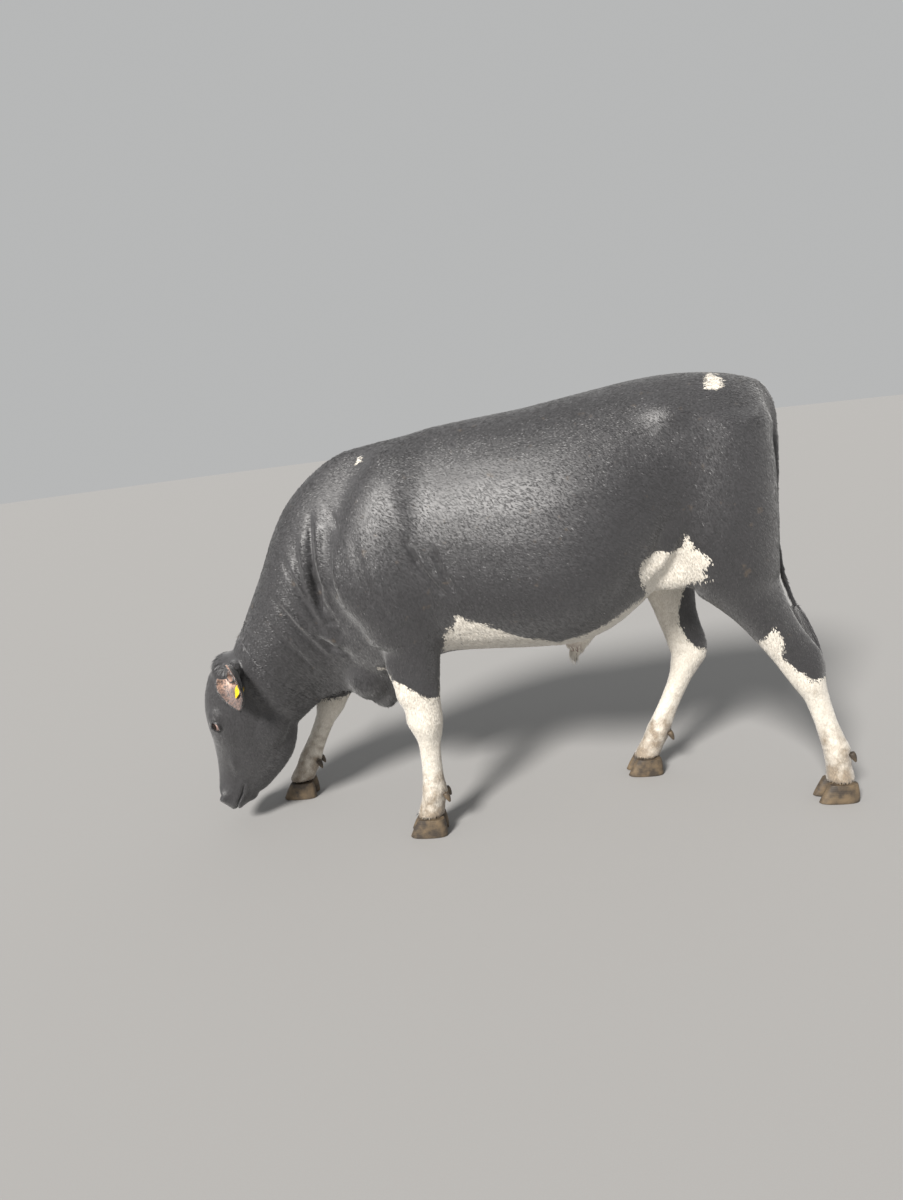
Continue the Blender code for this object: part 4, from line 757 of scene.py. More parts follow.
def ear_share(places):
    """How much each place belongs to an ear: 0 on the head, 1 where the ear's own surface is clearly nearer."""
    share = np.zeros(len(places))
    head_tree, _ = tree_of("head")
    for node in EAR_NODES:
        ear_tree, ear_places = tree_of(node)
        low, high = ear_places.min(axis=0) - 0.008, ear_places.max(axis=0) + 0.008
        for i in np.flatnonzero(np.all((places > low) & (places < high), axis=1)):
            place = Vector(places[i])
            apart = head_tree.find_nearest(place)[3] - ear_tree.find_nearest(place)[3]
            share[i] = min(1.0, max(0.0, apart / EAR_BLEND))
    return share


def along_ear(places):
    """How far out each place lies along the ear on its side."""
    away = np.zeros(len(places))
    for side in (LEFT, RIGHT):
        aim = unit(np.array(EAR_COAT[side][0]))
        out = (places - on_side(side, EAR_ROOT)) @ aim
        away = np.where(places[:, 1] * side > 0, out, away)
    return away


def sculpt_ear_canal(mesh, side):
    """Sink the ear's canal into the fleshy knob at the cup's root, and give how near each place lies to it, for the
    painted shade there.
    """
    aim, opening = unit(np.array(EAR_COAT[side][0])), unit(np.array(EAR_OPENING[side]))
    middle = on_side(side, EAR_ROOT) + aim * EAR_CANAL[0] + opening * EAR_CANAL[1]
    places, _ = vertex_arrays(mesh)
    share = np.exp(-((np.linalg.norm(places - middle, axis=1) / EAR_CANAL_RADIUS) ** 4))
    move_vertices(mesh, places - (aim * 0.4 + opening * 0.9) * (EAR_CANAL_DEPTH * share)[:, None])
    return share


def press(mesh, distance, half_width, depth, mask=1.0):
    """Push the skin in along its normals, or out where depth is negative, fading with distance."""
    places, normals = vertex_arrays(mesh)
    push = depth * np.exp(-((distance / half_width) ** 2)) * mask
    move_vertices(mesh, places - normals * push[:, None])


def sculpt_folds(mesh):
    for line, half_width, depth in FOLDS:
        places, normals = vertex_arrays(mesh)
        facing = eased(np.abs(normals[:, 1]), 0.15, 0.55) * np.where(places[:, 1] > 0, RIGHT_FOLDS, 1.0)
        ends = np.array([line[0], line[-1]])
        view = places[:, [0, 2]]
        fade = eased(np.min(np.linalg.norm(view[:, None] - ends[None], axis=2), axis=1), 0.0, FOLD_END)
        press(mesh, distance_to_line(view, line), half_width, depth, facing * (0.25 + 0.75 * fade))


def raise_swells(mesh):
    for line, half_width, rise in SWELLS:
        places, _ = vertex_arrays(mesh)
        press(mesh, distance_to_line(places, line), half_width, -rise)


def even_out_hollow(mesh):
    places, _ = vertex_arrays(mesh)
    near = 1 - eased(distance_to_line(places[:, [0, 2]], SHOULDER_HOLLOW), *HOLLOW_REACH)
    edges, degree = neighbours(mesh)
    move_vertices(mesh, smoothed(places, edges, degree, near, HOLLOW_ROUNDS))


def eye_axes(side):
    """Directions at an eye: along the slit between the lids, up to the upper lid, and out of the head."""
    outward = unit(on_side(side, EYE_OUTWARD))
    slit = np.array(EYE_SLIT)
    slit = unit(slit - outward * (slit @ outward))
    across = np.cross(slit, outward)
    return slit, across * (-1 if across[0] > 0 else 1), outward


def sculpt_eye(mesh, side):
    """Wrap two lids round the ball and open the slit between them."""
    centre = on_side(side, EYE)
    slit, upper, outward = eye_axes(side)
    places, _ = vertex_arrays(mesh)
    offset = places - centre
    reach = np.linalg.norm(offset, axis=1)
    along, height, out = offset @ slit, offset @ upper, offset @ outward
    bow = 1 - (along / SLIT_HALF_LENGTH) ** 2
    inside = np.minimum(UPPER_OPENING * bow - height, height + LOWER_OPENING * bow)
    near = (reach < LID_REACH) & (out > -0.004)
    lid = np.exp(-((np.maximum(-inside, 0) / LID_FADE) ** 2)) * near
    thick = LID_THICKNESS * (1.0 + 0.35 * (height > 0))
    crease_away, crease_width = LID_CREASE
    crease = crease_width * np.exp(-(((-inside - crease_away) / crease_width) ** 2)) * (height > 0)
    lid_reach = EYE_RADIUS + thick - crease
    opened = eased(inside, -0.0003, 0.0012) * near
    target = reach + (lid_reach - reach) * lid
    target = target + (EYE_RADIUS - SLIT_DEPTH - target) * opened
    move_vertices(mesh, centre + offset * (target / np.maximum(reach, 1e-6))[:, None])
    return np.exp(-((inside / 0.0022) ** 2)) * near


def sculpt_nostril(mesh, side):
    line = [(x, side * y, z) for x, y, z in NOSTRIL]
    places, _ = vertex_arrays(mesh)
    distance = distance_to_line(places, line)
    press(mesh, distance, NOSTRIL_RIM[0], -NOSTRIL_RIM[1])
    push = NOSTRIL_HOLE[1] * np.exp(-((distance / NOSTRIL_HOLE[0]) ** 4))
    places, _ = vertex_arrays(mesh)
    move_vertices(mesh, places + unit(on_side(side, NOSTRIL_INWARD)) * push[:, None])
    return np.exp(-((distance / NOSTRIL_EDGE) ** 4))


def sculpt_mouth(mesh):
    places, _ = vertex_arrays(mesh)
    of_muzzle = places[:, 0] < MOUTH_BACK
    distance = distance_to_line(places[:, [0, 2]], MOUTH)
    corner = np.linalg.norm(places[:, [0, 2]] - np.array(MOUTH[-1]), axis=1)
    open_share = of_muzzle * (0.25 + 0.75 * eased(corner, 0.0, 0.050))
    press(mesh, distance, LIPS[0], -LIPS[1], of_muzzle)
    press(mesh, distance, *LIP_SLIT, open_share)
    places, _ = vertex_arrays(mesh)
    return np.exp(-((distance_to_line(places[:, [0, 2]], MOUTH) / LIP_EDGE) ** 2)) * open_share


def white_depth(places):
    """How far inside a white marking each place lies, in metres; below zero is black."""
    view = places[:, [0, 2]]
    best = np.full(len(places), -1.0)
    for outline, low_y, high_y in WHITE_PATCHES:
        depth = depth_inside(view, outline)
        depth = np.minimum(depth, np.minimum(places[:, 1] - low_y, high_y - places[:, 1]))
        best = np.maximum(best, depth)
    return best


def on_head(places):
    """Whether places lie beyond the graft's plane and not on the right foreleg."""
    beyond = (places - np.array(GRAFT_POINT)) @ np.array(GRAFT_NORMAL) > 0
    x, y, z = places.T
    return beyond & (x < GRAFT_BACK) & ~on_right_foreleg(x, y, z)


def on_brisket(x, y):
    return (x > -0.75) & (x < -0.45) & (np.abs(y) < 0.085)


def mud_amount(places):
    """Mud from the claws to the knees and hocks."""
    clean = on_head(places) | on_brisket(places[:, 0], places[:, 1])
    return np.where(clean, -1.0, 1.0 - eased(places[:, 2], *MUD_HEIGHTS))


def soften_graft(mesh):
    """Smooth a narrow band where coarse and fine skin meet."""
    places, _ = vertex_arrays(mesh)
    away = np.abs((places - np.array(GRAFT_POINT)) @ np.array(GRAFT_NORMAL))
    near = np.where(places[:, 0] < GRAFT_BACK, 1 - eased(away, *GRAFT_BAND), 0)
    edges, degree = neighbours(mesh)
    move_vertices(mesh, smoothed(places, edges, degree, near, GRAFT_ROUNDS))


def make_skin():
    """The whole bull's hide as one mesh."""
    body = fused("skin", FLESH_NODES, BODY_VOXEL)
    head = fused("skin_head", ("head", "neck", *EAR_NODES, "eye_left", "eye_right"), HEAD_VOXEL)
    places, _ = vertex_arrays(body.data)
    smooth_skin(body.data, 1 - 0.55 * (1 - eased(places[:, 2], 0.55, 0.80)))
    places, _ = vertex_arrays(head.data)
    smooth_skin(head.data, 1 - 0.93 * ear_share(places) * (0.6 + 0.4 * eased(along_ear(places), 0.030, 0.060)))
    cut(body.data, False)
    cut(head.data, True)
    skin = grafted(body, head)
    mesh = skin.data
    soften_graft(mesh)
    raise_swells(mesh)
    even_out_hollow(mesh)
    sculpt_folds(mesh)
    places, normals = vertex_arrays(mesh)
    ears = ear_share(places)
    depth = COAT_DEPTH * (1 - 0.9 * ears) * np.where(on_head(places), 0.5, 1.0)
    move_vertices(mesh, places - normals * depth[:, None])
    wet = np.zeros(len(places))
    for side in (LEFT, RIGHT):
        wet = np.maximum(wet, sculpt_eye(mesh, side))
    nostrils = np.zeros(len(places))
    for side in (LEFT, RIGHT):
        nostrils = np.maximum(nostrils, sculpt_nostril(mesh, side))
    lips = sculpt_mouth(mesh)
    canal_shade = np.maximum(sculpt_ear_canal(mesh, LEFT), sculpt_ear_canal(mesh, RIGHT))

    places, normals = vertex_arrays(mesh)
    edges, degree = neighbours(mesh)
    drawn_in = smoothed(places, edges, degree, np.ones(len(places)), 6) - places
    rim = ears * eased(-np.sum(drawn_in * normals, axis=1), 0.0008, 0.0020)
    pad = eased(-places[:, 0], *MUZZLE_FRONT) * (1 - eased(places[:, 2], *MUZZLE_TOP))
    pad = pad * (1 - eased(np.abs(places[:, 1]), *MUZZLE_SIDE))
    # the ear canals take the leather's dark colour at 0.85: painted shade in their recess, not leather
    leather_and_canal_shade = np.clip(np.maximum.reduce([pad, nostrils, lips * 0.8, wet, 0.85 * canal_shade]), 0, 1)
    pink = np.zeros(len(places))
    for side in (LEFT, RIGHT):
        opening = unit(np.array(EAR_OPENING[side]))
        depth_in = 1 - eased(along_ear(places), 0.03, 0.07)
        faces_out = eased(normals @ opening, -0.25, 0.25) * (places[:, 1] * side > 0) * (1 - rim)
        pink = np.maximum(pink, ears * faces_out * (0.5 + 0.5 * depth_in))
    sheath = np.exp(-((np.linalg.norm(places - SHEATH_MOUTH, axis=1) / SHEATH_BARE) ** 2))
    pink = np.maximum(pink, 0.8 * sheath)
    store(mesh, "white", white_depth(places))
    store(mesh, "mud", mud_amount(places))
    store(mesh, "pink", pink)
    store(mesh, "leather_and_canal_shade", leather_and_canal_shade)
    store(mesh, "upright", 1 - eased(places[:, 2], 0.55, 0.75) * eased(places[:, 0], -1.0, -0.8))
    store(mesh, "tone", np.random.default_rng(SEED).random(len(places)))
    mesh.shade_smooth()
    return skin, {"ears": ears, "leather_and_canal_shade": leather_and_canal_shade, "pink": pink, "rim": rim}


# Coat


def coat_at(places):
    """Lie, hair length and tuft width at each place, from the nearest landmarks of the coat."""
    mirrored = places * np.array([1, -1, 1])
    left = np.where(places[:, 1:2] > 0, mirrored, places)
    spots = np.array([row[0] for row in COAT])
    facts = np.array([(*row[1], row[2] / 1000, row[3] / 1000) for row in COAT])
    away = np.linalg.norm(left[:, None] - spots[None], axis=2)
    pull = 1 / (away + 0.02) ** 4
    found = (pull @ facts) / pull.sum(axis=1, keepdims=True)
    lie = found[:, :3]
    lie[:, 1] = np.where(places[:, 1] > 0, -lie[:, 1], lie[:, 1])
    return lie, found[:, 3], found[:, 4]


def scattered(mesh, facts, rng):
    """Roots for the tufts, spread over the skin so that tufts of any size cover it alike."""
    mesh.calc_loop_triangles()
    corners = np.empty(len(mesh.loop_triangles) * 3, dtype=np.int32)
    mesh.loop_triangles.foreach_get("vertices", corners)
    corners = corners.reshape(-1, 3)
    places, normals = vertex_arrays(mesh)
    a, b, c = (places[corners[:, i]] for i in range(3))
    area = 0.5 * np.linalg.norm(np.cross(b - a, c - a), axis=1)
    middles = (a + b + c) / 3
    _, length, width = coat_at(middles)
    ears = facts["ears"][corners].max(axis=1) > 0.5
    length = np.where(ears, EAR_COAT[LEFT][1] / 1000, length)
    width = np.where(ears, EAR_COAT[LEFT][2] / 1000, width)
    wanted = TUFT_COVER * area / (0.5 * length * width)
    wanted[facts["pink"][corners].max(axis=1) > 0.3] *= 0.8
    wanted[(facts["leather_and_canal_shade"][corners].max(axis=1) > 0.5) | (middles[:, 2] < HOOF_EDGE)] = 0
    total = int(wanted.sum())
    picked = np.searchsorted(np.cumsum(wanted), rng.random(total) * wanted.sum())
    picked = np.minimum(picked, len(corners) - 1)
    u, v = rng.random(total), rng.random(total)
    flip = u + v > 1
    u[flip], v[flip] = 1 - u[flip], 1 - v[flip]
    shares = np.stack([1 - u - v, u, v], axis=1)[:, :, None]
    roots = (places[corners[picked]] * shares).sum(axis=1)
    facing = unit((normals[corners[picked]] * shares).sum(axis=1))
    found = {name: facts[name][corners[picked]].max(axis=1) for name in ("ears", "pink", "rim")}
    return roots, facing, found


def swirl(places, scale):
    """Slow, smooth noise between -1 and 1 at each place."""
    return np.array([noise.noise(Vector(place) * scale) for place in places])


def mesh_of(name, places, faces):
    """A mesh of many equal pieces, from each piece's places and the faces of one piece."""
    count, size, _ = places.shape
    indices = (np.array(faces)[None] + (np.arange(count) * size)[:, None, None]).reshape(-1, 3)
    mesh = bpy.data.meshes.new(name)
    mesh.vertices.add(count * size)
    mesh.vertices.foreach_set("co", places.ravel())
    mesh.loops.add(indices.size)
    mesh.loops.foreach_set("vertex_index", indices.ravel().astype(np.int32))
    mesh.polygons.add(len(indices))
    mesh.polygons.foreach_set("loop_start", np.arange(0, indices.size, 3, dtype=np.int32))
    mesh.update(calc_edges=True)
    mesh.shade_smooth()
    return mesh, indices


def tufts(name, roots, facing, lie, length, width, lift, white, rng, uv):
    """Closed tufts of four faces: a keel runs from the sunk root to the tip, which stands a little off."""
    count = len(roots)
    aside = unit(np.cross(facing, lie))
    bend = rng.normal(0, 0.10, count)[:, None]
    flank = roots + lie * (WIDEST * length)[:, None] - facing * FLANK_SUNK
    tip = roots + lie * length[:, None] + facing * (TIP_STANDS + lift)[:, None] + aside * length[:, None] * bend
    half = (0.5 * width)[:, None]
    places = np.stack([roots - facing * ROOT_SUNK, flank + aside * half, flank - aside * half, tip], axis=1)
    mesh, indices = mesh_of(name, places, [(0, 1, 2), (0, 3, 1), (0, 2, 3), (2, 1, 3)])
    tilt = facing + 0.12 * rng.normal(0, 1, (count, 3))
    normals = np.stack([tilt, tilt + 0.5 * aside, tilt - 0.5 * aside, tilt + 0.2 * lie], axis=1)
    mesh.normals_split_custom_set_from_vertices(unit(normals).reshape(-1, 3).astype(np.float32))
    store(mesh, "white", np.repeat(white, 4))
    store(mesh, "mud", np.repeat(mud_amount(roots), 4))
    store(mesh, "tone", np.repeat(rng.random(count), 4))
    spread = PATCH * np.array([(0, 0), (1, 0), (-1, 0), (0, 1)])
    layer = mesh.uv_layers.new(name="OFBake")
    flat = (uv[:, None, :] + spread[None]).reshape(-1, 2)
    layer.data.foreach_set("uv", flat[indices.ravel()].astype(np.float32).ravel())
    return object_of(name, mesh)


def unwrap(roots, region):
    """Each root's place on a flattened skin: round the body part and along it, side by side for two legs."""
    x, y, z = roots.T
    if region == "legs":
        hind = x > HIND_START
        right = y > 0
        centre_x = np.where(hind, np.interp(z, *HIND_LEFT_LINE), FORE_LEFT_X)
        centre_x = np.where(right & hind, np.interp(z, *HIND_RIGHT_LINE), centre_x)
        centre_x = np.where(right & ~hind, np.interp(z, *FORE_RIGHT_LINE), centre_x)
        centre_y = np.where(hind, HIND_Y, FORE_Y)
        turn = np.arctan2(np.abs(y) - centre_y, x - centre_x) / (2 * math.pi) + 0.5
        u = 0.01 + 0.48 * turn + 0.5 * hind
        v = z / LEG_LENGTH
    elif region == "head":
        turn = np.arctan2(np.abs(y), HEAD_MIDDLE_X - x) / math.pi
        u, v = turn, (z - HEAD_LOW) / HEAD_LENGTH
    else:
        turn = np.arctan2(np.abs(y), z - BODY_MIDDLE_Z) / math.pi
        u, v = turn, (x - BODY_FRONT) / BODY_LENGTH
    return np.clip(np.stack([u, v], axis=1), 0.003, 0.997)


def make_coat(skin, facts):
    """Scatter the tufts, lay them along the coat, and join them into pieces by region and side."""
    rng = np.random.default_rng(SEED)
    roots, facing, found = scattered(skin.data, facts, rng)
    lie, length, width = coat_at(roots)
    for side in (LEFT, RIGHT):
        aim, ear_length, ear_width = EAR_COAT[side]
        own = found["ears"] * (roots[:, 1] * side > 0)
        inner = (own * (found["pink"] > 0.3))[:, None]
        lie = lie * (1 - own[:, None]) + unit(np.array(aim)) * own[:, None]
        lie = lie + inner * 0.5 * unit(np.array(EAR_OPENING[side]))
        length = length * (1 - own) + ear_length / 1000 * own
        width = width * (1 - own) + ear_width / 1000 * own
    length = length * (1 + 1.5 * found["rim"])
    lie = unit(lie - facing * np.sum(lie * facing, axis=1, keepdims=True))
    aside = np.cross(facing, lie)
    turn = SWIRL * swirl(roots, 9.0) + rng.normal(0, STRAY, len(roots))
    lie = lie * np.cos(turn)[:, None] + aside * np.sin(turn)[:, None]
    length = length * rng.uniform(0.75, 1.25, len(roots))
    width = width * rng.uniform(0.8, 1.2, len(roots))
    lift = np.minimum(LIFT_SHARE * length, MOST_LIFT) * rng.uniform(0.3, 1.3, len(roots))
    lift = lift + RIM_LIFT * found["rim"]
    depth = white_depth(roots) + EDGE_SCATTER * rng.normal(0, 1, len(roots)) + EDGE_WAVER * swirl(roots, 60.0)
    white = np.where(depth > 0, 0.01, -0.01)

    x, y, z = roots.T
    head = on_head(roots)
    legs = ~head & (z < LEG_TOP) & ~on_brisket(x, y)
    legs &= ~((x > -0.1) & (x < 0.3))
    body = ~head & ~legs
    regions = {
        "face": ("head", head & (z < FACE_TOP)),
        "poll": ("head", head & (z >= FACE_TOP)),
        "legs": ("legs", legs),
        "neck": ("body", body & (x < NECK_END)),
        "shoulder": ("body", body & (x >= NECK_END) & (x < SHOULDER_END)),
        "barrel": ("body", body & (x >= SHOULDER_END) & (x < BARREL_END)),
        "quarters": ("body", body & (x >= BARREL_END)),
    }
    pieces = []
    for region, (way, chosen) in regions.items():
        for side, word in ((LEFT, "left"), (RIGHT, "right")):
            part = np.flatnonzero(chosen & ((y > 0) == (side > 0)))
            values = (values[part] for values in (roots, facing, lie, length, width, lift, white))
            pieces.append(tufts(f"coat_{region}_{word}", *values, rng, unwrap(roots[part], way)))
    return pieces


# Long locks


def locks(name, lines, widths, facing, white, rng):
    """Closed, tapering locks, three-cornered in section, along given lines of points."""
    count, steps, _ = lines.shape
    ahead = np.gradient(lines, axis=1)
    aside = unit(np.cross(ahead, facing[:, None, :]))
    out = unit(np.cross(aside, ahead))
    share = np.linspace(0, 1, steps)
    taper = np.clip(np.minimum(0.6 + 1.6 * share, 1.25 * (1 - share) + 0.06), 0.06, 1.0)
    half = 0.5 * widths[:, None, None] * taper[None, :, None]
    rings = np.stack([lines + aside * half, lines - aside * half, lines + out * half * 0.6], axis=2)
    places = rings.reshape(count, steps * 3, 3)
    faces = [(0, 2, 1)]
    for i in range(steps - 1):
        for j in range(3):
            k = (j + 1) % 3
            near, far = 3 * i, 3 * i + 3
            faces += [(near + j, far + k, far + j), (near + j, near + k, far + k)]
    last = 3 * (steps - 1)
    faces.append((last, last + 1, last + 2))
    mesh, indices = mesh_of(name, places, faces)
    store(mesh, "white", np.repeat(white, steps * 3))
    store(mesh, "mud", np.zeros(count * steps * 3))
    store(mesh, "tone", np.repeat(rng.random(count), steps * 3))
    roots = lines[:, 0]
    spread_low, spread_high = roots.min(axis=0), roots.max(axis=0)
    flat = (roots - spread_low) / np.maximum(spread_high - spread_low, 1e-6)
    turn = np.arctan2(facing[:, 1], facing[:, 0]) / (2 * math.pi) + 0.5
    uv = 0.01 + 0.98 * np.stack([turn, flat[:, 2]], axis=1)
    patch = PATCH * np.stack([np.tile([-1.0, 1.0, 0.0], steps), np.repeat(2 * share - 1, 3)], axis=1)
    flat_uv = (uv[:, None, :] + patch[None]).reshape(-1, 2)
    layer = mesh.uv_layers.new(name="OFBake")
    layer.data.foreach_set("uv", flat_uv[indices.ravel()].astype(np.float32).ravel())
    return object_of(name, mesh)


SWITCH_LINE = [
    (0.896, -0.018, 0.650, 0.0135),
    (0.917, -0.021, 0.585, 0.0215),
    (0.940, -0.025, 0.515, 0.0260),
    (0.960, -0.028, 0.435, 0.0240),
    (0.977, -0.030, 0.340, 0.0100),
]


def make_switch():
    """The tail's switch: fine locks from the end of the dock down to uneven tips."""
    rng = np.random.default_rng(SEED + 1)
    core = np.array(SWITCH_LINE)
    count, steps = SWITCH_LOCKS, SWITCH_POINTS
    start = rng.uniform(0.0, 0.60, count)
    end = np.minimum(start + rng.uniform(0.22, 0.62, count), 1.0 - 0.28 * rng.random(count) ** 2)
    turn = rng.uniform(0, 2 * math.pi, count)
    phase = rng.uniform(0, 2 * math.pi, count)
    wisp = np.round(turn * SWITCH_WISPS / (2 * math.pi)) * 2 * math.pi / SWITCH_WISPS
    gather = np.stack([np.cos(wisp), np.sin(wisp), np.zeros(count)], axis=1)
    out = np.stack([np.cos(turn), np.sin(turn), np.zeros(count)], axis=1)
    lines = np.empty((count, steps, 3))
    for i in range(steps):
        share = start + (end - start) * i / (steps - 1)
        at = [np.interp(share, np.linspace(0, 1, len(core)), core[:, axis]) for axis in range(4)]
        spread = 0.25 + 0.75 * math.sin(math.pi * min(1.0, 0.15 + 0.75 * i / (steps - 1)))
        wave = 0.0045 * np.sin(phase + 2.2 * i / (steps - 1) * math.pi)
        aim = unit(out * (1 - 0.8 * share[:, None]) + gather * 0.8 * share[:, None])
        lines[:, i] = np.stack(at[:3], axis=1) + aim * (at[3] * spread + wave)[:, None]
    return locks("switch_locks", lines, rng.uniform(*SWITCH_WIDTHS, count), out, np.full(count, -0.01), rng)


def make_sheath_hair():
    """The tuft of wiry hair that hangs from the sheath's mouth."""
    rng = np.random.default_rng(SEED + 2)
    count, steps = SHEATH_LOCKS, SHEATH_POINTS
    turn = rng.uniform(0, 2 * math.pi, count)
    out = np.stack([np.cos(turn), np.sin(turn), np.zeros(count)], axis=1)
    root = np.array(SHEATH_HAIR) + out * rng.uniform(0.004, 0.014, count)[:, None]
    length = rng.uniform(*SHEATH_LENGTHS, count)
    lines = np.empty((count, steps, 3))
    for i in range(steps):
        share = i / (steps - 1)
        hang = np.array([0.004 * share, 0, 1]) * (length * share)[:, None]
        lines[:, i] = root + out * (0.004 * math.sin(math.pi * share)) - hang
    return locks("sheath_locks", lines, rng.uniform(*SHEATH_WIDTHS, count), out, np.full(count, 0.01), rng)


def make_lashes():
    """Stout lashes along both upper lids."""
    rng = np.random.default_rng(SEED + 3)
    pieces = []
    for side in (LEFT, RIGHT):
        slit, upper, outward = eye_axes(side)
        count, steps = LASHES, LASH_POINTS
        along = np.linspace(-LASH_SPAN, LASH_SPAN, count) + rng.normal(0, 0.0004, count)
        sweep = rng.normal(0.25, 0.12, count)[:, None]
        height = UPPER_OPENING * (1 - (along / SLIT_HALF_LENGTH) ** 2) + 0.0012
        out = np.sqrt(np.maximum((EYE_RADIUS + 0.0028) ** 2 - along**2 - height**2, 0))
        roots = on_side(side, EYE) + along[:, None] * slit + height[:, None] * upper + out[:, None] * outward
        length = rng.uniform(*LASH_LENGTHS, count)
        lines = np.empty((count, steps, 3))
        for i in range(steps):
            share = i / (steps - 1)
            reach = outward * (0.95 - 0.3 * share) + upper * (0.35 * share - 0.15) + slit * sweep
            lines[:, i] = roots + reach * (length * share)[:, None]
        facing = np.tile(upper, (count, 1))
        name = "lashes_left" if side == LEFT else "lashes_right"
        pieces.append(locks(name, lines, np.full(count, LASH_WIDTH), facing, np.full(count, -0.01), rng))
    return pieces


# Eyes, claws and tag


def make_eye(side, node):
    """A ball with the cornea's low dome, carrying its own directions for the pupil's slot."""
    bm = bmesh.new()
    bmesh.ops.create_uvsphere(bm, u_segments=64, v_segments=40, radius=EYE_RADIUS)
    mesh = bpy.data.meshes.new(node)
    bm.to_mesh(mesh)
    bm.free()
    slit, _, outward = eye_axes(side)
    across = np.cross(slit, outward)
    places, _ = vertex_arrays(mesh)
    marked = places * np.array([1, -1 if across[0] > 0 else 1, 1])
    turned = places[:, :1] * slit + places[:, 1:2] * across + places[:, 2:] * outward
    dome = 1 + CORNEA_DOME * eased(places[:, 2] / EYE_RADIUS, *CORNEA_EDGE)
    layer = mesh.attributes.new("eye_place", "FLOAT_VECTOR", "POINT")
    layer.data.foreach_set("vector", marked.astype(np.float32).ravel())
    move_vertices(mesh, turned * dome[:, None] + on_side(side, EYE))
    mesh.shade_smooth()
    return object_of(f"{node}_ball", mesh)


def soften_edges(thing, width, segments):
    """Round the sharp edges of a hard piece."""
    edge = thing.modifiers.new("edge", "BEVEL")
    edge.width = width
    edge.segments = segments
    edge.limit_method = "ANGLE"
    edge.angle_limit = SHARP_ANGLE


def rounded(node, width, levels):
    """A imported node's form with its edges rounded and its faces refined."""
    thing = object_of(f"{node}_finished", node_mesh(node))
    weld = thing.modifiers.new("weld", "WELD")
    weld.merge_threshold = 0.00005
    soften_edges(thing, width, 2)
    finer = thing.modifiers.new("finer", "SUBSURF")
    finer.levels = finer.render_levels = levels
    applied(thing)
    thing.data.shade_smooth()
    return thing


def egg_shaped(thing):
    """Round both ends of a peg over, as a dewclaw's horn is."""
    places, _ = vertex_arrays(thing.data)
    middle = 0.5 * (places.min(axis=0) + places.max(axis=0))
    offset = places - middle
    axis = np.linalg.svd(offset - offset.mean(axis=0), full_matrices=False)[2][0]
    along = offset @ axis
    share = along / np.abs(along).max()
    radial = offset - along[:, None] * axis
    narrowed = radial * np.sqrt(1 - DEWCLAW_NARROWING * share**2)[:, None]
    move_vertices(thing.data, middle + along[:, None] * axis + narrowed)
    return thing


def solid_of(bm, outline, low, high, bow):
    """Add a plate with the given outline between two heights, bowed like a gutter."""
    rings = [[bm.verts.new((x, y, z - bow * x * x)) for x, y in outline] for z in (low, high)]
    bm.faces.new(rings[0][::-1])
    bm.faces.new(rings[1])
    count = len(outline)
    for i in range(count):
        j = (i + 1) % count
        bm.faces.new((rings[0][i], rings[0][j], rings[1][j], rings[1][i]))


def disc_of(bm, radius, tip_radius, low, high):
    place = Matrix.Translation((0, TAG_PIN_Y, (low + high) / 2))
    bmesh.ops.create_cone(
        bm, cap_ends=True, segments=40, radius1=radius, radius2=tip_radius, depth=high - low, matrix=place
    )


def make_tag():
    """A flag tag: round-cornered plate with a moulded boss, pinned through the ear to a round stud."""
    aim, opening = unit(np.array(EAR_COAT[LEFT][0])), np.array(EAR_OPENING[LEFT])
    opening = unit(opening - aim * (opening @ aim))
    across = np.cross(aim, opening)
    axes = np.stack([across, aim, opening])
    places, _ = vertex_arrays(node_mesh("ear_tag"))
    local = places @ axes.T
    low, high = local.min(axis=0), local.max(axis=0)
    half_width, half_length = 0.5 * (high[0] - low[0]), 0.5 * (high[1] - low[1])
    outline = [
        (
            half_width * math.copysign(abs(math.cos(t)) ** TAG_SQUARENESS, math.cos(t)),
            half_length * math.copysign(abs(math.sin(t)) ** TAG_SQUARENESS, math.sin(t)),
        )
        for t in np.linspace(0, 2 * math.pi, TAG_CORNERS, endpoint=False)
    ]
    bm = bmesh.new()
    top = high[2] - 0.5 * (low[2] + high[2])
    solid_of(bm, outline, top - TAG_PLATE, top, TAG_BOW)
    disc_of(bm, *TAG_BOSS[:2], top, top + TAG_BOSS[2])
    disc_of(bm, TAG_PIN_RADIUS, TAG_PIN_RADIUS, -top, top)
    disc_of(bm, *TAG_STUD[:2], -top, -top + TAG_STUD[2])
    disc_of(bm, *TAG_STUD_FOOT[:2], -top - TAG_STUD_FOOT[2], -top)
    mesh = bpy.data.meshes.new("ear_tag_finished")
    bm.to_mesh(mesh)
    bm.free()
    middle = axes.T @ (0.5 * (low + high))
    turn = Matrix(axes.T.tolist()).to_4x4()
    mesh.transform(Matrix.Translation(middle.tolist()) @ turn)
    thing = object_of("ear_tag_finished", mesh)
    soften_edges(thing, TAG_EDGE, 3)
    applied(thing)
    thing.data.shade_smooth()
    return thing


# Studio


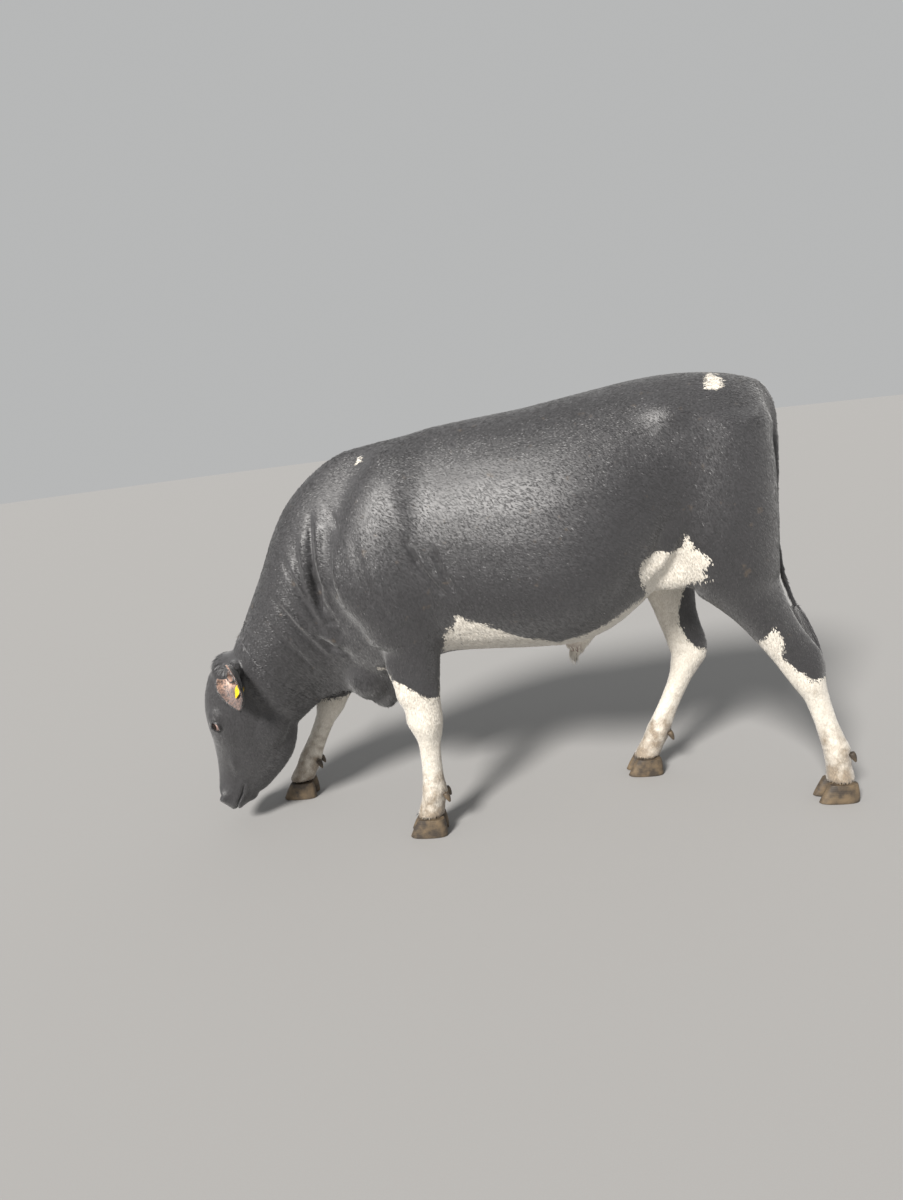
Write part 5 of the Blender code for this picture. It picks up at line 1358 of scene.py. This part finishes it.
def make_camera():
    data = bpy.data.cameras.new("camera")
    data.lens = FOCAL_LENGTH_PIXELS / PICTURE_HEIGHT_PIXELS * SENSOR_SIZE
    data.sensor_width = SENSOR_SIZE
    camera = bpy.data.objects.new("camera", data)
    bpy.context.scene.collection.objects.link(camera)
    turn = (
        Matrix.Rotation(CAMERA_YAW, 4, "Z")
        @ Matrix.Rotation(math.pi / 2 - CAMERA_PITCH, 4, "X")
        @ Matrix.Rotation(CAMERA_ROLL, 4, "Z")
    )
    camera.matrix_world = Matrix.Translation(Vector(CAMERA_PLACE) + ORIGIN) @ turn
    bpy.context.scene.camera = camera


def make_studio():
    bm = bmesh.new()
    bmesh.ops.create_circle(bm, cap_ends=True, segments=96, radius=FLOOR_RADIUS)
    mesh = bpy.data.meshes.new("studio_floor")
    bm.to_mesh(mesh)
    bm.free()
    mesh.materials.append(floor_material())
    floor = object_of("studio_floor", mesh)
    sun = bpy.data.objects.new("key_light", bpy.data.lights.new("key_light", "SUN"))
    sun.data.energy = SUN_STRENGTH
    sun.data.angle = SUN_ANGLE
    sun.data.color = SUN_TINT
    bpy.context.scene.collection.objects.link(sun)
    sun.rotation_euler = Vector(SUN_DIRECTION).to_track_quat("-Z", "Y").to_euler()
    world = bpy.data.worlds.new("soft_studio")
    world.use_nodes = True
    world.node_tree.nodes["Background"].inputs[0].default_value = linear("#D9DADA")
    world.node_tree.nodes["Background"].inputs[1].default_value = AROUND_STRENGTH
    bpy.context.scene.world = world
    bpy.context.scene.view_settings.view_transform = "Standard"


def dress(thing, material, nodes):
    """Give a finished piece its material and its place in the frame."""
    thing.data.transform(Matrix.Translation(ORIGIN))
    thing.data.materials.clear()
    thing.data.materials.append(material)
    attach(thing, "root")
    if nodes:
        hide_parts(*nodes)


def build():
    make_camera()
    make_studio()
    hide, hair, horn = coat_skin_material(), tuft_material(), horn_material()
    skin, facts = make_skin()
    for piece in make_coat(skin, facts):
        dress(piece, hair, ())
    dress(skin, hide, FLESH_NODES)
    dress(make_switch(), hair, ("tail_switch",))
    dress(make_sheath_hair(), hair, ())
    for piece in make_lashes():
        dress(piece, hair, ())
    wet = eye_material()
    for side, node in ((LEFT, "eye_left"), (RIGHT, "eye_right")):
        dress(make_eye(side, node), wet, (node,))
    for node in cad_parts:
        if "claw" in node:
            claw = rounded(node, CLAW_EDGE, CLAW_LEVELS)
            dress(egg_shaped(claw) if "dewclaw" in node else claw, horn, (node,))
    dress(make_tag(), tag_material(), ("ear_tag",))


build()
